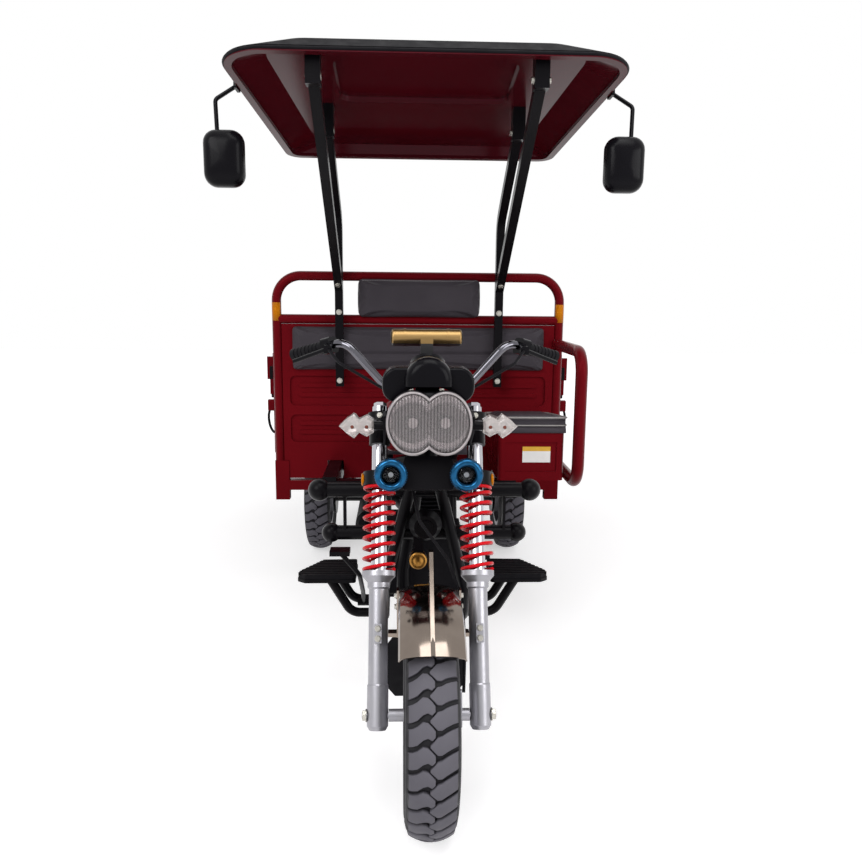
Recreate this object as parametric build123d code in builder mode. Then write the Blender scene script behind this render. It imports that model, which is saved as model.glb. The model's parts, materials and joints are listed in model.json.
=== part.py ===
from build123d import *
import os
from math import cos, radians, sin

# Cargo tricycle, in millimetres. It faces -Y, +X is the rider's left and +Z is up.
# Setbacks are distances behind the front axle.

# Wheels
TYRE_RADIUS = 275
TYRE_WIDTH = 126
TREAD_WIDTH = 104
BEAD_RADIUS = 152
BEAD_WIDTH = 88
WHEELBASE = 2130
REAR_TRACK = 942
FIT = 0.3

# Load bed
HEADBOARD_SETBACK = 1340
FLOOR_FRONT = 1362
FLOOR_REAR = 3082
FLOOR_HALF = 542
FLOOR_TOP = 660
FLOOR_DEPTH = 40
GATE_GAP = 5
GATE_THICK = 30
GATE_BOTTOM = 645
GATE_TOP = 1046
HINGE_RADIUS = 9
HINGE_PIN = 10
HINGE_STANDOFF = 8
HINGE_DROP = 13
HINGE_HEIGHT = GATE_BOTTOM - HINGE_DROP

# Steering
RAKE = 24
FORK_OFFSET = 45
FORK_HALF = 125
STANCHION_DIA = 41
SLIDER_DIA = 52
SLIDER_TOP = 345
SPRING_DIA = 76
SPRING_WIRE = 9
LOWER_CLAMP = 562
LOWER_CLAMP_THICK = 36
LOWER_BOSS = 43
UPPER_CLAMP = 733
UPPER_CLAMP_THICK = 24
STEM_DIA = 30

# Chassis
RAIL_HALF = 330
RAIL_WIDTH = 50
RAIL_BOTTOM = 540
RAIL_TOP = 620
HEADBOARD_TUBE = 36
POST_HALF = 552
CANOPY_POST_HALF = 305
CANOPY_POST = 30
CANOPY_POST_SETBACK = 1276

# Canopy
ROOF_FRONT = 405
ROOF_LENGTH = 874
ROOF_EDGE_HEIGHT = 1893
ROOF_TILT = 8.1
ROOF_HALF_FRONT = 560
ROOF_HALF_REAR = 482
ROOF_FRONT_CORNER = 120
ROOF_REAR_CORNER = 55
ROOF_WALL = 5
ROOF_LIP = 12
ROOF_FLANGE = 22
ROOF_CROWN = 46

OVERALL_REAR = FLOOR_REAR + GATE_GAP + GATE_THICK + HINGE_STANDOFF + HINGE_RADIUS
FRONT_AXLE_Y = (TYRE_RADIUS - OVERALL_REAR) / 2
REAR_AXLE_Y = FRONT_AXLE_Y + WHEELBASE

os.makedirs("parts", exist_ok=True)


def at(x, setback, z):
    """A point from its setback behind the front axle."""
    return Vector(x, FRONT_AXLE_Y + setback, z)


FRONT_AXLE = at(0, 0, TYRE_RADIUS)
RAKE_SIN = sin(radians(RAKE))
RAKE_COS = cos(radians(RAKE))
# The steering axis: local z runs up along it and local y to the rear.
STEER = Plane(
    origin=at(0, FORK_OFFSET * RAKE_COS, TYRE_RADIUS - FORK_OFFSET * RAKE_SIN),
    x_dir=(1, 0, 0),
    z_dir=(0, RAKE_SIN, RAKE_COS),
)
LEGS = [(-FORK_HALF, -FORK_OFFSET), (FORK_HALF, -FORK_OFFSET)]
ROOF = Plane(
    origin=at(0, ROOF_FRONT, ROOF_EDGE_HEIGHT),
    x_dir=(1, 0, 0),
    z_dir=(0, sin(radians(ROOF_TILT)), cos(radians(ROOF_TILT))),
)


def steer_point(x, y, z):
    """A point given in the steering axis's own frame."""
    return STEER.from_local_coords(Vector(x, y, z))


def side_plane(x):
    """A plane across the vehicle at x, drawn in setback and height."""
    return Plane(origin=at(x, 0, 0), x_dir=(0, 1, 0), z_dir=(1, 0, 0))


def bent_bar(points, diameter, bend):
    """A round bar along straight runs joined by tangent arcs."""
    with BuildPart() as bar:
        with BuildLine() as path:
            FilletPolyline(*points, radius=bend)
        with BuildSketch(Plane(origin=path.wire() @ 0, z_dir=path.wire() % 0)):
            Circle(diameter / 2)
        sweep()
    return bar.part


def straight_bar(start, end, diameter):
    """A round bar from one point to another."""
    run = Vector(end) - Vector(start)
    with BuildPart() as bar:
        with BuildSketch(Plane(origin=start, z_dir=run)):
            Circle(diameter / 2)
        extrude(amount=run.length)
    return bar.part


def box(low, high):
    """A box between two corners."""
    with BuildPart() as block:
        with Locations((Vector(low) + Vector(high)) / 2):
            size = Vector(high) - Vector(low)
            Box(abs(size.X), abs(size.Y), abs(size.Z))
    return block.part


def save(builder, name):
    """Label a piece and write its file."""
    builder.part.label = name
    export_step(builder.part, "parts/" + name + ".step")


# Wheels: a tyre closed on its rim, and a rim with disc, hub and brake drum
def make_tyre(centre):
    half = TYRE_WIDTH / 2
    tread = TREAD_WIDTH / 2
    bead = BEAD_WIDTH / 2
    side_radius = BEAD_RADIUS + 55
    shoulder = TYRE_RADIUS - 16
    with BuildPart() as tyre:
        with BuildSketch(Plane(origin=centre, x_dir=(1, 0, 0), z_dir=(0, -1, 0))):
            with BuildLine():
                Line((-bead, BEAD_RADIUS), (-bead, BEAD_RADIUS + 13))
                ThreePointArc((-bead, BEAD_RADIUS + 13), (-half, side_radius), (-tread - 3, shoulder - 12))
                Line((-tread - 3, shoulder - 12), (-tread, shoulder))
                ThreePointArc((-tread, shoulder), (0, TYRE_RADIUS), (tread, shoulder))
                Line((tread, shoulder), (tread + 3, shoulder - 12))
                ThreePointArc((tread + 3, shoulder - 12), (half, side_radius), (bead, BEAD_RADIUS + 13))
                Line((bead, BEAD_RADIUS + 13), (bead, BEAD_RADIUS))
                Line((bead, BEAD_RADIUS), (-bead, BEAD_RADIUS))
            make_face()
        revolve(axis=Axis(centre, (1, 0, 0)))
    return tyre


def make_rim(centre, outer, disc, hub, drum, bore):
    """outer is +1 or -1; disc, hub and drum are spans along the axle towards that side."""
    seat = BEAD_RADIUS - FIT
    edge = BEAD_WIDTH / 2 + FIT
    with BuildPart() as rim:
        with BuildSketch(Plane(origin=centre, x_dir=(outer, 0, 0), z_dir=(0, -outer, 0))):
            with BuildLine():
                Polyline(
                    (-edge - 6, seat + 12), (-edge, seat + 12), (-edge, seat), (edge, seat),
                    (edge, seat + 12), (edge + 6, seat + 12), (edge + 6, seat - 7), (26, seat - 7),
                    (18, seat - 18), (-18, seat - 18), (-26, seat - 7), (-edge - 6, seat - 7),
                    close=True,
                )
            make_face()
            with Locations(((disc[0] + disc[1]) / 2, seat / 2 + 5)):
                Rectangle(disc[1] - disc[0], seat - 25)
            with Locations(((hub[0] + hub[1]) / 2, 22)):
                Rectangle(hub[1] - hub[0], 44)
            with Locations(((drum[0] + drum[1]) / 2, 45)):
                Rectangle(drum[1] - drum[0], 90)
            with Locations(((disc[0] + disc[1]) / 2 + 8, 38)):
                Rectangle(disc[1] - disc[0] + 16, 76)
        revolve(axis=Axis(centre, (1, 0, 0)))
        with BuildSketch(Plane(origin=centre + Vector(outer * 200, 0, 0), z_dir=(-outer, 0, 0))):
            Circle(bore)
        extrude(amount=400, mode=Mode.SUBTRACT)
        with BuildSketch(Plane(origin=centre + Vector(outer * (disc[1] + 1), 0, 0), z_dir=(-outer, 0, 0))):
            with PolarLocations(108, 8):
                Circle(13)
        extrude(amount=disc[1] - disc[0] + 2, mode=Mode.SUBTRACT)
    return rim


front_tyre = make_tyre(FRONT_AXLE)
save(front_tyre, "front_tyre")
front_rim = make_rim(FRONT_AXLE, -1, (8, 16), (-58, 58), (-58, 0), 8 + FIT)
save(front_rim, "front_rim")

for side, label in ((-1, "right"), (1, "left")):
    hub_centre = Vector(side * REAR_TRACK / 2, REAR_AXLE_Y, TYRE_RADIUS)
    rear_tyre = make_tyre(hub_centre)
    save(rear_tyre, "rear_tyre_" + label)
    rear_rim = make_rim(hub_centre, side, (12, 20), (-66, 40), (-66, -14), 25 + FIT)
    save(rear_rim, "rear_rim_" + label)

# Fork
with BuildPart() as triple_clamps:
    for start, thick, boss, hub in (
        (LOWER_CLAMP, LOWER_CLAMP_THICK, LOWER_BOSS, 38),
        (UPPER_CLAMP, UPPER_CLAMP_THICK, 32, 34),
    ):
        with BuildSketch(STEER.offset(start)):
            with Locations(*LEGS):
                Circle(boss)
            Circle(hub)
            make_hull()
            with Locations(*LEGS):
                Circle(STANCHION_DIA / 2 + FIT, mode=Mode.SUBTRACT)
        extrude(amount=thick)
    with BuildSketch(STEER.offset(LOWER_CLAMP)):
        Circle(STEM_DIA / 2)
    extrude(amount=UPPER_CLAMP - LOWER_CLAMP)
    # Handlebar risers on the upper clamp
    for x in (-42, 42):
        with BuildSketch(Plane(origin=steer_point(x, 5, 0), x_dir=(1, 0, 0), z_dir=STEER.z_dir).offset(757)):
            RectangleRounded(28, 40, 8)
        extrude(amount=75)
    with BuildSketch(Plane(origin=steer_point(-80, 5, 812), z_dir=(1, 0, 0))):
        Circle(11 + FIT)
    extrude(amount=160, mode=Mode.SUBTRACT)
save(triple_clamps, "triple_clamps")

with BuildPart() as fork_stanchions:
    with BuildSketch(STEER.offset(121)):
        with Locations(*LEGS):
            Circle(STANCHION_DIA / 2)
    extrude(amount=654)
save(fork_stanchions, "fork_stanchions")

with BuildPart() as fork_sliders:
    for x, y in LEGS:
        leg_plane = Plane(origin=steer_point(x, y, 0), x_dir=(1, 0, 0), z_dir=(0, RAKE_COS, -RAKE_SIN))
        with BuildSketch(leg_plane):
            with BuildLine():
                Polyline(
                    (0, 34), (20, 34), (SLIDER_DIA / 2, 24), (SLIDER_DIA / 2, -70),
                    (SLIDER_DIA / 2 - 2, -74),
                    (SLIDER_DIA / 2 - 2, 45 - SLIDER_TOP), (SLIDER_DIA / 2 + 2, 41 - SLIDER_TOP),
                    (SLIDER_DIA / 2 + 2, 29 - SLIDER_TOP), (42, 13 - SLIDER_TOP), (42, -SLIDER_TOP),
                    (STANCHION_DIA / 2 + FIT, -SLIDER_TOP),
                    (STANCHION_DIA / 2 + FIT, -118), (0, -118),
                    close=True,
                )
            make_face()
        revolve(axis=Axis(steer_point(x, y, 0), STEER.z_dir))
    # Fender lugs and axle bores
    for x, y in LEGS:
        lug = steer_point(x, y - 24, 192)
        with Locations(Location(lug, (-RAKE, 0, 0))):
            Box(18, 22, 46)
    with BuildSketch(STEER.offset(118)):
        with Locations(*LEGS):
            Circle(STANCHION_DIA / 2 + FIT)
    extrude(amount=300, mode=Mode.SUBTRACT)
    with BuildSketch(Plane(origin=FRONT_AXLE - Vector(200, 0, 0), z_dir=(1, 0, 0))):
        Circle(8 + FIT)
    extrude(amount=400, mode=Mode.SUBTRACT)
save(fork_sliders, "fork_sliders")


def coil(x, y, low, high, turns):
    """A coil spring with closed ends, as tilted half turns that meet tangentially."""
    halves = 2 * turns
    rise = (high - low - SPRING_WIRE) / (halves - 2)
    radius = SPRING_DIA / 2
    z = low + SPRING_WIRE / 2
    with BuildPart() as spring:
        with BuildLine() as path:
            for half in range(halves):
                turn = 1 if half % 2 == 0 else -1
                top = z if half in (0, halves - 1) else z + rise
                reach = ((2 * radius) ** 2 + (top - z) ** 2) ** 0.5 / 2
                ThreePointArc(
                    steer_point(x + turn * radius, y, z),
                    steer_point(x, y + turn * reach, (z + top) / 2),
                    steer_point(x - turn * radius, y, top),
                )
                z = top
        with BuildSketch(Plane(origin=path.wire() @ 0, z_dir=path.wire() % 0)):
            Circle(SPRING_WIRE / 2)
        sweep()
    return spring.part


coils = [coil(x, y, SLIDER_TOP + 0.2, LOWER_CLAMP - 0.2, 9) for x, y in LEGS]
with BuildPart() as fork_springs:
    add(coils)
save(fork_springs, "fork_springs")

with BuildPart() as front_axle:
    with BuildSketch(Plane(origin=FRONT_AXLE - Vector(163, 0, 0), z_dir=(1, 0, 0))):
        Circle(8)
    extrude(amount=326)
    for start, end in ((-98, -58.5), (71, 98)):
        with BuildSketch(Plane(origin=FRONT_AXLE + Vector(start, 0, 0), z_dir=(1, 0, 0))):
            Circle(15)
        extrude(amount=end - start)
    for x in (-152, 151.5):
        with BuildSketch(Plane(origin=FRONT_AXLE + Vector(x - 0.2, 0, 0), z_dir=(1, 0, 0))):
            RegularPolygon(13, 6)
        extrude(amount=0.8)
save(front_axle, "front_axle")

with BuildPart() as front_brake_plate:
    plate_plane = Plane(origin=FRONT_AXLE + Vector(59.5, 0, 0), z_dir=(1, 0, 0))
    with BuildSketch(plate_plane):
        Circle(88)
    extrude(amount=5)
    with BuildSketch(plate_plane):
        Circle(64)
    extrude(amount=11)
    with BuildSketch(plate_plane):
        Circle(8 + FIT)
    extrude(amount=12, mode=Mode.SUBTRACT)
    with BuildSketch(plate_plane.offset(5)):
        with PolarLocations(72, 10):
            Circle(5)
    extrude(amount=4)
    # Brake arm
    with BuildSketch(Plane(origin=FRONT_AXLE + Vector(70.5, 0, 0), x_dir=(0, 1, 0), z_dir=(1, 0, 0))):
        with Locations((-28, 32)):
            SlotCenterToCenter(70, 18, rotation=70)
    extrude(amount=7)
save(front_brake_plate, "front_brake_plate")

# Fender: a ridged shell swept about the axle, with stays down to the fork
FENDER_HALF = 75
FENDER_FRONT = 52
FENDER_SWEEP = 113
with BuildPart() as front_fender:
    lean = radians(FENDER_FRONT)
    with BuildSketch(Plane(origin=FRONT_AXLE, x_dir=(1, 0, 0), z_dir=(0, -sin(lean), -cos(lean)))):
        with BuildLine():
            ThreePointArc((-FENDER_HALF + 4, 298), (-42, 308.5), (-5, 312))
            Polyline((-5, 312), (0, 316), (5, 312))
            ThreePointArc((5, 312), (42, 308.5), (FENDER_HALF - 4, 298))
            Polyline(
                (FENDER_HALF - 4, 298), (FENDER_HALF, 286), (FENDER_HALF - 3, 286), (FENDER_HALF - 7, 295.5),
            )
            ThreePointArc((FENDER_HALF - 7, 295.5), (0, 309), (-FENDER_HALF + 7, 295.5))
            Polyline(
                (-FENDER_HALF + 7, 295.5), (-FENDER_HALF + 3, 286), (-FENDER_HALF, 286),
                (-FENDER_HALF + 4, 298),
            )
        make_face()
    revolve(axis=Axis(FRONT_AXLE, (-1, 0, 0)), revolution_arc=FENDER_SWEEP)
    for side in (-1, 1):
        with Locations(at(side * 76.5, 80, 505)):
            Box(5, 24, 122)
        with Locations(at(side * 87.6, 80, 450)):
            Box(26.2, 24, 10)
    # Fin along the crown
    with BuildSketch(Plane(origin=at(-4.5, 0, TYRE_RADIUS), x_dir=(0, 1, 0), z_dir=(1, 0, 0))):
        with BuildLine():
            ThreePointArc((-165, 266), (-112, 324), (-34, 424))
            Line((-34, 424), (-16, 424))
            ThreePointArc((-16, 424), (-6, 356), (24, 312))
            ThreePointArc((24, 312), (-80, 303), (-165, 266))
        make_face()
    extrude(amount=9)
save(front_fender, "front_fender")

with BuildPart() as front_mudflap:
    flap_lean = radians(180 - FENDER_FRONT - FENDER_SWEEP)
    flap_end = FRONT_AXLE + Vector(0, 309 * cos(flap_lean), 309 * sin(flap_lean))
    flap_plane = Plane(origin=flap_end, x_dir=(1, 0, 0), z_dir=(0, cos(flap_lean), sin(flap_lean)))
    with BuildSketch(flap_plane):
        with BuildLine():
            Polyline(
                (-78, 0.3), (-115, 60), (-115, 190), (-85, 235), (85, 235), (115, 190), (115, 60),
                (78, 0.3), close=True,
            )
        make_face()
    extrude(amount=5)
save(front_mudflap, "front_mudflap")

# Lamps on the fork
COVER_FACE = -FORK_OFFSET - LOWER_BOSS
with BuildPart() as fork_cover:
    cover_origin = steer_point(0, COVER_FACE, 586)
    with BuildSketch(Plane(origin=cover_origin, x_dir=(1, 0, 0), z_dir=(0, -RAKE_COS, RAKE_SIN))):
        with BuildLine():
            Polyline((-62, -42), (62, -42), (74, 0), (58, 46), (-58, 46), (-74, 0), close=True)
        make_face()
    extrude(amount=7)
    fillet(fork_cover.faces().sort_by(Axis.Y)[0].edges(), 3)
save(fork_cover, "fork_cover")

SPOT_HALF = 95
with BuildPart() as spot_lamps:
    for side in (-1, 1):
        front = at(side * SPOT_HALF, 150, 836)
        with BuildSketch(Plane(origin=front, x_dir=(1, 0, 0), z_dir=(0, -1, 0))):
            Circle(41)
            Circle(24, mode=Mode.SUBTRACT)
        extrude(amount=-14)
        with BuildSketch(Plane(origin=front + Vector(0, 8, 0), x_dir=(1, 0, 0), z_dir=(0, 1, 0))):
            Circle(37)
        extrude(amount=22, taper=24)
        face = steer_point(side * SPOT_HALF, COVER_FACE - 0.2, 580)
        with BuildSketch(Plane(origin=face, z_dir=(0, -RAKE_COS, RAKE_SIN))):
            Circle(11)
        extrude(amount=36)
save(spot_lamps, "spot_lamps")

HEADLAMP_FRONT = 150
HEADLAMP_Z = 966


def headlamp_plane(depth):
    """A plane facing the front, a depth behind the headlamp's face."""
    return Plane(origin=at(0, HEADLAMP_FRONT + depth, HEADLAMP_Z), x_dir=(1, 0, 0), z_dir=(0, -1, 0))


with BuildPart() as headlamp_shell:
    with BuildSketch(headlamp_plane(0)):
        with Locations((-41, 0), (41, 0)):
            Ellipse(66, 80)
    extrude(amount=-34)
    with BuildSketch(headlamp_plane(34)):
        Ellipse(98, 72)
    extrude(amount=-82)
    fillet(headlamp_shell.faces().sort_by(Axis.Y)[-1].edges(), 34)
    with BuildSketch(headlamp_plane(0)):
        with Locations((-41, 0), (41, 0)):
            Ellipse(60, 74)
    extrude(amount=-12, mode=Mode.SUBTRACT)
    with BuildSketch(headlamp_plane(12)):
        with Locations((-41, 0), (41, 0)):
            Ellipse(56, 68)
    extrude(amount=-46, mode=Mode.SUBTRACT)
save(headlamp_shell, "headlamp_shell")

with BuildPart() as headlamp_reflector:
    with BuildSketch(headlamp_plane(20)):
        with Locations((-41, 0), (41, 0)):
            Ellipse(55.5, 67.5)
    extrude(amount=-37.7)
    for x in (-41, 41):
        bowl = at(x, HEADLAMP_FRONT + 20, HEADLAMP_Z)
        with BuildSketch(Plane(origin=bowl, x_dir=(1, 0, 0), z_dir=(0, 0, 1))):
            with BuildLine():
                Line((0, 32), (0, -1))
                Line((0, -1), (52, -1))
                ThreePointArc((52, -1), (33, 22), (0, 32))
            make_face()
        revolve(axis=Axis(bowl, (0, 1, 0)), mode=Mode.SUBTRACT)
        with BuildSketch(Plane(origin=bowl + Vector(0, 32.5, 0), z_dir=(0, -1, 0))):
            Circle(9)
        extrude(amount=28)
    for x in (-41, 41):
        bulb = at(x, HEADLAMP_FRONT + 26, HEADLAMP_Z)
        with Locations(bulb):
            Sphere(11)
save(headlamp_reflector, "headlamp_reflector")

with BuildPart() as headlamp_lens:
    with BuildSketch(headlamp_plane(12 - 0.2)):
        with Locations((-41, 0), (41, 0)):
            Ellipse(59.5, 73.5)
    extrude(amount=16)
    fillet(headlamp_lens.faces().sort_by(Axis.Y)[0].edges(), 5)
save(headlamp_lens, "headlamp_lens")

with BuildPart() as headlamp_brackets:
    for (x, y), side in zip(LEGS, (-1, 1)):
        with BuildSketch(STEER.offset(672)):
            with Locations((x, y)):
                Circle(28)
        extrude(amount=34)
        with BuildSketch(side_plane(side * 107.6)):
            with BuildLine():
                Polyline(
                    (166, HEADLAMP_Z - 16), (262, 890), (284, 925), (215, HEADLAMP_Z + 22),
                    (166, HEADLAMP_Z + 16),
                    close=True,
                )
            make_face()
        extrude(amount=side * 7)
        with BuildSketch(STEER.offset(630)):
            with Locations((x, y)):
                Circle(STANCHION_DIA / 2 + FIT)
        extrude(amount=100, mode=Mode.SUBTRACT)
        # Stalk out to the indicator
        with BuildSketch(Plane(origin=at(side * 114, 206, 952), z_dir=(side, 0, 0))):
            Circle(11)
        extrude(amount=24)
save(headlamp_brackets, "headlamp_brackets")

with BuildPart() as indicators:
    for side in (-1, 1):
        with BuildSketch(Plane(origin=at(0, 226, 952), x_dir=(side, 0, 0), z_dir=(0, -side * side, 0))):
            with BuildLine():
                Polyline(
                    (138.2, -16), (156, -27), (175, -17), (188, -31), (206, -19), (226, 0), (206, 19),
                    (188, 31), (175, 17), (156, 27), (138.2, 16), close=True,
                )
            make_face()
        extrude(amount=40)
    chamfer(indicators.faces().group_by(Axis.Y)[0].edges(), 9)
save(indicators, "indicators")

with BuildPart() as instrument_pod:
    # Instrument cups at both sides, cut to follow the headlamp
    with BuildSketch(Plane(origin=at(0, 300, 1053), x_dir=(1, 0, 0), z_dir=(0, -1, 0))):
        RectangleRounded(236, 90, 38)
        with Locations((0, HEADLAMP_Z - 1053)):
            Ellipse(106, 84, mode=Mode.SUBTRACT)
    extrude(amount=76)
    fillet(instrument_pod.faces().sort_by(Axis.Y)[0].edges(), 9)
    # Domed binnacle between them
    with BuildSketch(Plane(origin=at(0, 326, 0), x_dir=(1, 0, 0), z_dir=(0, -1, 0))):
        with BuildLine():
            Polyline((-62, 1064), (-62, 1052), (62, 1052), (62, 1064))
            ThreePointArc((62, 1064), (0, 1126), (-62, 1064))
        make_face()
    extrude(amount=132)
    fillet(instrument_pod.faces().sort_by(Axis.Y)[0].edges().sort_by(Axis.Z)[1:], 26)
    # Dial face turned up towards the rider
    dial = Plane(origin=at(0, 300, 1096), x_dir=(1, 0, 0), z_dir=(0, 0.72, 0.694))
    with BuildSketch(dial.offset(-6)):
        Rectangle(300, 300)
    extrude(amount=200, mode=Mode.SUBTRACT)
    with BuildSketch(dial.offset(-6)):
        Circle(48)
        Circle(42, mode=Mode.SUBTRACT)
    extrude(amount=8)
    # Foot on the upper clamp
    with BuildSketch(STEER.offset(UPPER_CLAMP + UPPER_CLAMP_THICK + 0.2)):
        with Locations((0, -66)):
            Rectangle(64, 14)
    extrude(amount=96)
save(instrument_pod, "instrument_pod")

# Handlebar, swept back to the grips
BAR_Z = steer_point(0, 5, 812).Z
BAR_SETBACK = steer_point(0, 5, 812).Y - FRONT_AXLE_Y
BAR_RIGHT = [(80, BAR_SETBACK, BAR_Z), (222, 400, 1152), (372, 500, 1108)]
BAR_POINTS = [at(-x, s, z) for x, s, z in reversed(BAR_RIGHT)] + [at(x, s, z) for x, s, z in BAR_RIGHT]
handlebar_bar = bent_bar(BAR_POINTS, 22, 52)
with BuildPart() as handlebar:
    add(handlebar_bar)
save(handlebar, "handlebar")

with BuildPart() as grips:
    for side in (-1, 1):
        tip = at(side * 372, 500, 1108)
        run = (at(side * 222, 400, 1152) - tip).normalized()
        with BuildSketch(Plane(origin=tip - run * 6, z_dir=run)):
            Circle(17)
        extrude(amount=118)
        for ring in range(7):
            with BuildSketch(Plane(origin=tip + run * (8 + 14 * ring), z_dir=run)):
                Circle(17)
                Circle(15.4, mode=Mode.SUBTRACT)
            extrude(amount=4, mode=Mode.SUBTRACT)
        with BuildSketch(Plane(origin=tip - run * 0.3, z_dir=run)):
            Circle(11 + FIT)
        extrude(amount=130, mode=Mode.SUBTRACT)
save(grips, "grips")

LEVERS = []
for side in (-1, 1):
    tip = at(side * 372, 500, 1108)
    run = (at(side * 222, 400, 1152) - tip).normalized()
    LEVERS.append((tip, run, tip + run * 128 + Vector(0, -42, -6), tip + run * 4 + Vector(0, -54, -16)))
lever_bars = [straight_bar(pivot, end, 12) for tip, run, pivot, end in LEVERS]
with BuildPart() as hand_controls:
    for tip, run, pivot, end in LEVERS:
        with BuildSketch(Plane(origin=tip + run * 113, x_dir=(0, 0, 1), z_dir=run)):
            RectangleRounded(44, 40, 10)
        extrude(amount=30)
        with BuildSketch(Plane(origin=tip + run * 128, z_dir=(0, -1, -0.14))):
            RectangleRounded(22, 22, 5)
        extrude(amount=52)
    add(lever_bars)
    for tip, run, pivot, end in LEVERS:
        with BuildSketch(Plane(origin=tip + run * 105, z_dir=run)):
            Circle(11 + FIT)
        extrude(amount=45, mode=Mode.SUBTRACT)
save(hand_controls, "hand_controls")

with BuildPart() as speaker_bar:
    with BuildSketch(Plane(origin=at(-95, 398, 1164), z_dir=(1, 0, 0))):
        Circle(23)
    extrude(amount=190)
    fillet(speaker_bar.edges().filter_by(GeomType.CIRCLE), 5)
    for x in (-62, 56):
        with BuildSketch(Plane(origin=at(x, 398, 1164), z_dir=(1, 0, 0))):
            Circle(24.5)
        extrude(amount=6)
    with BuildSketch(Plane(origin=at(0, BAR_SETBACK + 2, BAR_Z + 11.2))):
        Rectangle(34, 8)
    extrude(amount=158)
save(speaker_bar, "speaker_bar")

cable_runs = [
    bent_bar(
        [at(-265, 377.5, 1130), at(-235, 335, 1100), at(-110, 312, 1030), at(-40, 290, 985),
         at(-40, 266.4, 985)],
        8, 14,
    ),
    bent_bar(
        [at(265, 377.5, 1130), at(235, 335, 1100), at(110, 312, 1030), at(40, 290, 985),
         at(40, 266.4, 985)],
        8, 14,
    ),
    bent_bar(
        [at(-38, 256.3, 774.4), at(-22, 215, 700), at(52, 165, 610), at(87, 120, 520), at(87, 30, 430),
         at(82, -14, 340)],
        8, 40,
    ),
]
with BuildPart() as cables:
    add(cable_runs)
save(cables, "cables")

# Main frame
cradle_tubes = []
for side in (-1, 1):
    cradle_tubes.append(
        bent_bar(
            [at(side * 12, 325, 845), at(side * 30, 392, 790), at(side * 120, 452, 420),
             at(side * 120, 492, 310),
             at(side * 120, 960, 310), at(side * 120, 1062, 560)],
            34, 55,
        )
    )
    cradle_tubes.append(
        bent_bar([at(side * 10, 700, 772), at(side * 110, 800, 722), at(side * 110, 1326.5, 722)], 28, 60)
    )
top_tube = bent_bar([at(0, 310, 855), at(0, 760, 760), at(0, 1050, 590)], 48, 120)
with BuildPart() as main_frame:
    add(top_tube)
    add(cradle_tubes)
    add(box(at(-RAIL_HALF + RAIL_WIDTH / 2, 1040, 545), at(RAIL_HALF - RAIL_WIDTH / 2, 1084, 605)))
    with BuildSketch(STEER.offset(601)):
        Circle(28)
    extrude(amount=129)
    # Gusset plates under the top tube and a plate for the horn
    with BuildSketch(side_plane(-5)):
        with BuildLine():
            Polyline((312, 835), (520, 805), (356, 735), close=True)
        make_face()
    extrude(amount=10)
    add(box(at(-74, 410, 618), at(74, 418, 664)))
    with BuildSketch(STEER.offset(560)):
        Circle(STEM_DIA / 2 + FIT)
    extrude(amount=220, mode=Mode.SUBTRACT)
save(main_frame, "main_frame")

with BuildPart() as horn:
    with BuildSketch(Plane(origin=at(0, 409.8, 641), x_dir=(1, 0, 0), z_dir=(0, -1, 0))):
        Circle(24)
    extrude(amount=46)
    with BuildSketch(Plane(origin=at(0, 372, 641), x_dir=(1, 0, 0), z_dir=(0, -1, 0))):
        Circle(46)
    extrude(amount=26, taper=28)
    with BuildSketch(Plane(origin=at(0, 346.5, 641), x_dir=(1, 0, 0), z_dir=(0, -1, 0))):
        Circle(20)
    extrude(amount=6)
    # Brass switch hung below it
    with BuildSketch(Plane(origin=at(-20, 404, 536), x_dir=(1, 0, 0), z_dir=(0, -1, 0))):
        Circle(26)
    extrude(amount=34)
    add(box(at(-34, 376, 550), at(-6, 402, 620)))
save(horn, "horn")

# Ladder chassis under the bed
SPRING_EYE = 426
with BuildPart() as chassis_rails:
    for side in (-1, 1):
        x = side * RAIL_HALF
        add(box(at(x - RAIL_WIDTH / 2, 1040, RAIL_BOTTOM), at(x + RAIL_WIDTH / 2, 3075, RAIL_TOP)))
        for eye in (-SPRING_EYE, SPRING_EYE):
            add(box(at(x - 37, WHEELBASE + eye - 28, 514), at(x + 37, WHEELBASE + eye + 28, RAIL_BOTTOM)))
            for cheek in (-37, 31):
                near = WHEELBASE + eye
                add(box(at(x + cheek, near - 20, 466), at(x + cheek + 6, near + 20, 520)))
            with BuildSketch(Plane(origin=at(x - 42, WHEELBASE + eye, 490), z_dir=(1, 0, 0))):
                Circle(7)
            extrude(amount=84)
save(chassis_rails, "chassis_rails")

with BuildPart() as cross_members:
    for setback in (1480, 1820, 2440, 2760, 3030):
        inner = RAIL_HALF - RAIL_WIDTH / 2
        add(box(at(-inner, setback - 20, 550), at(inner, setback + 20, 610)))
save(cross_members, "cross_members")

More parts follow.
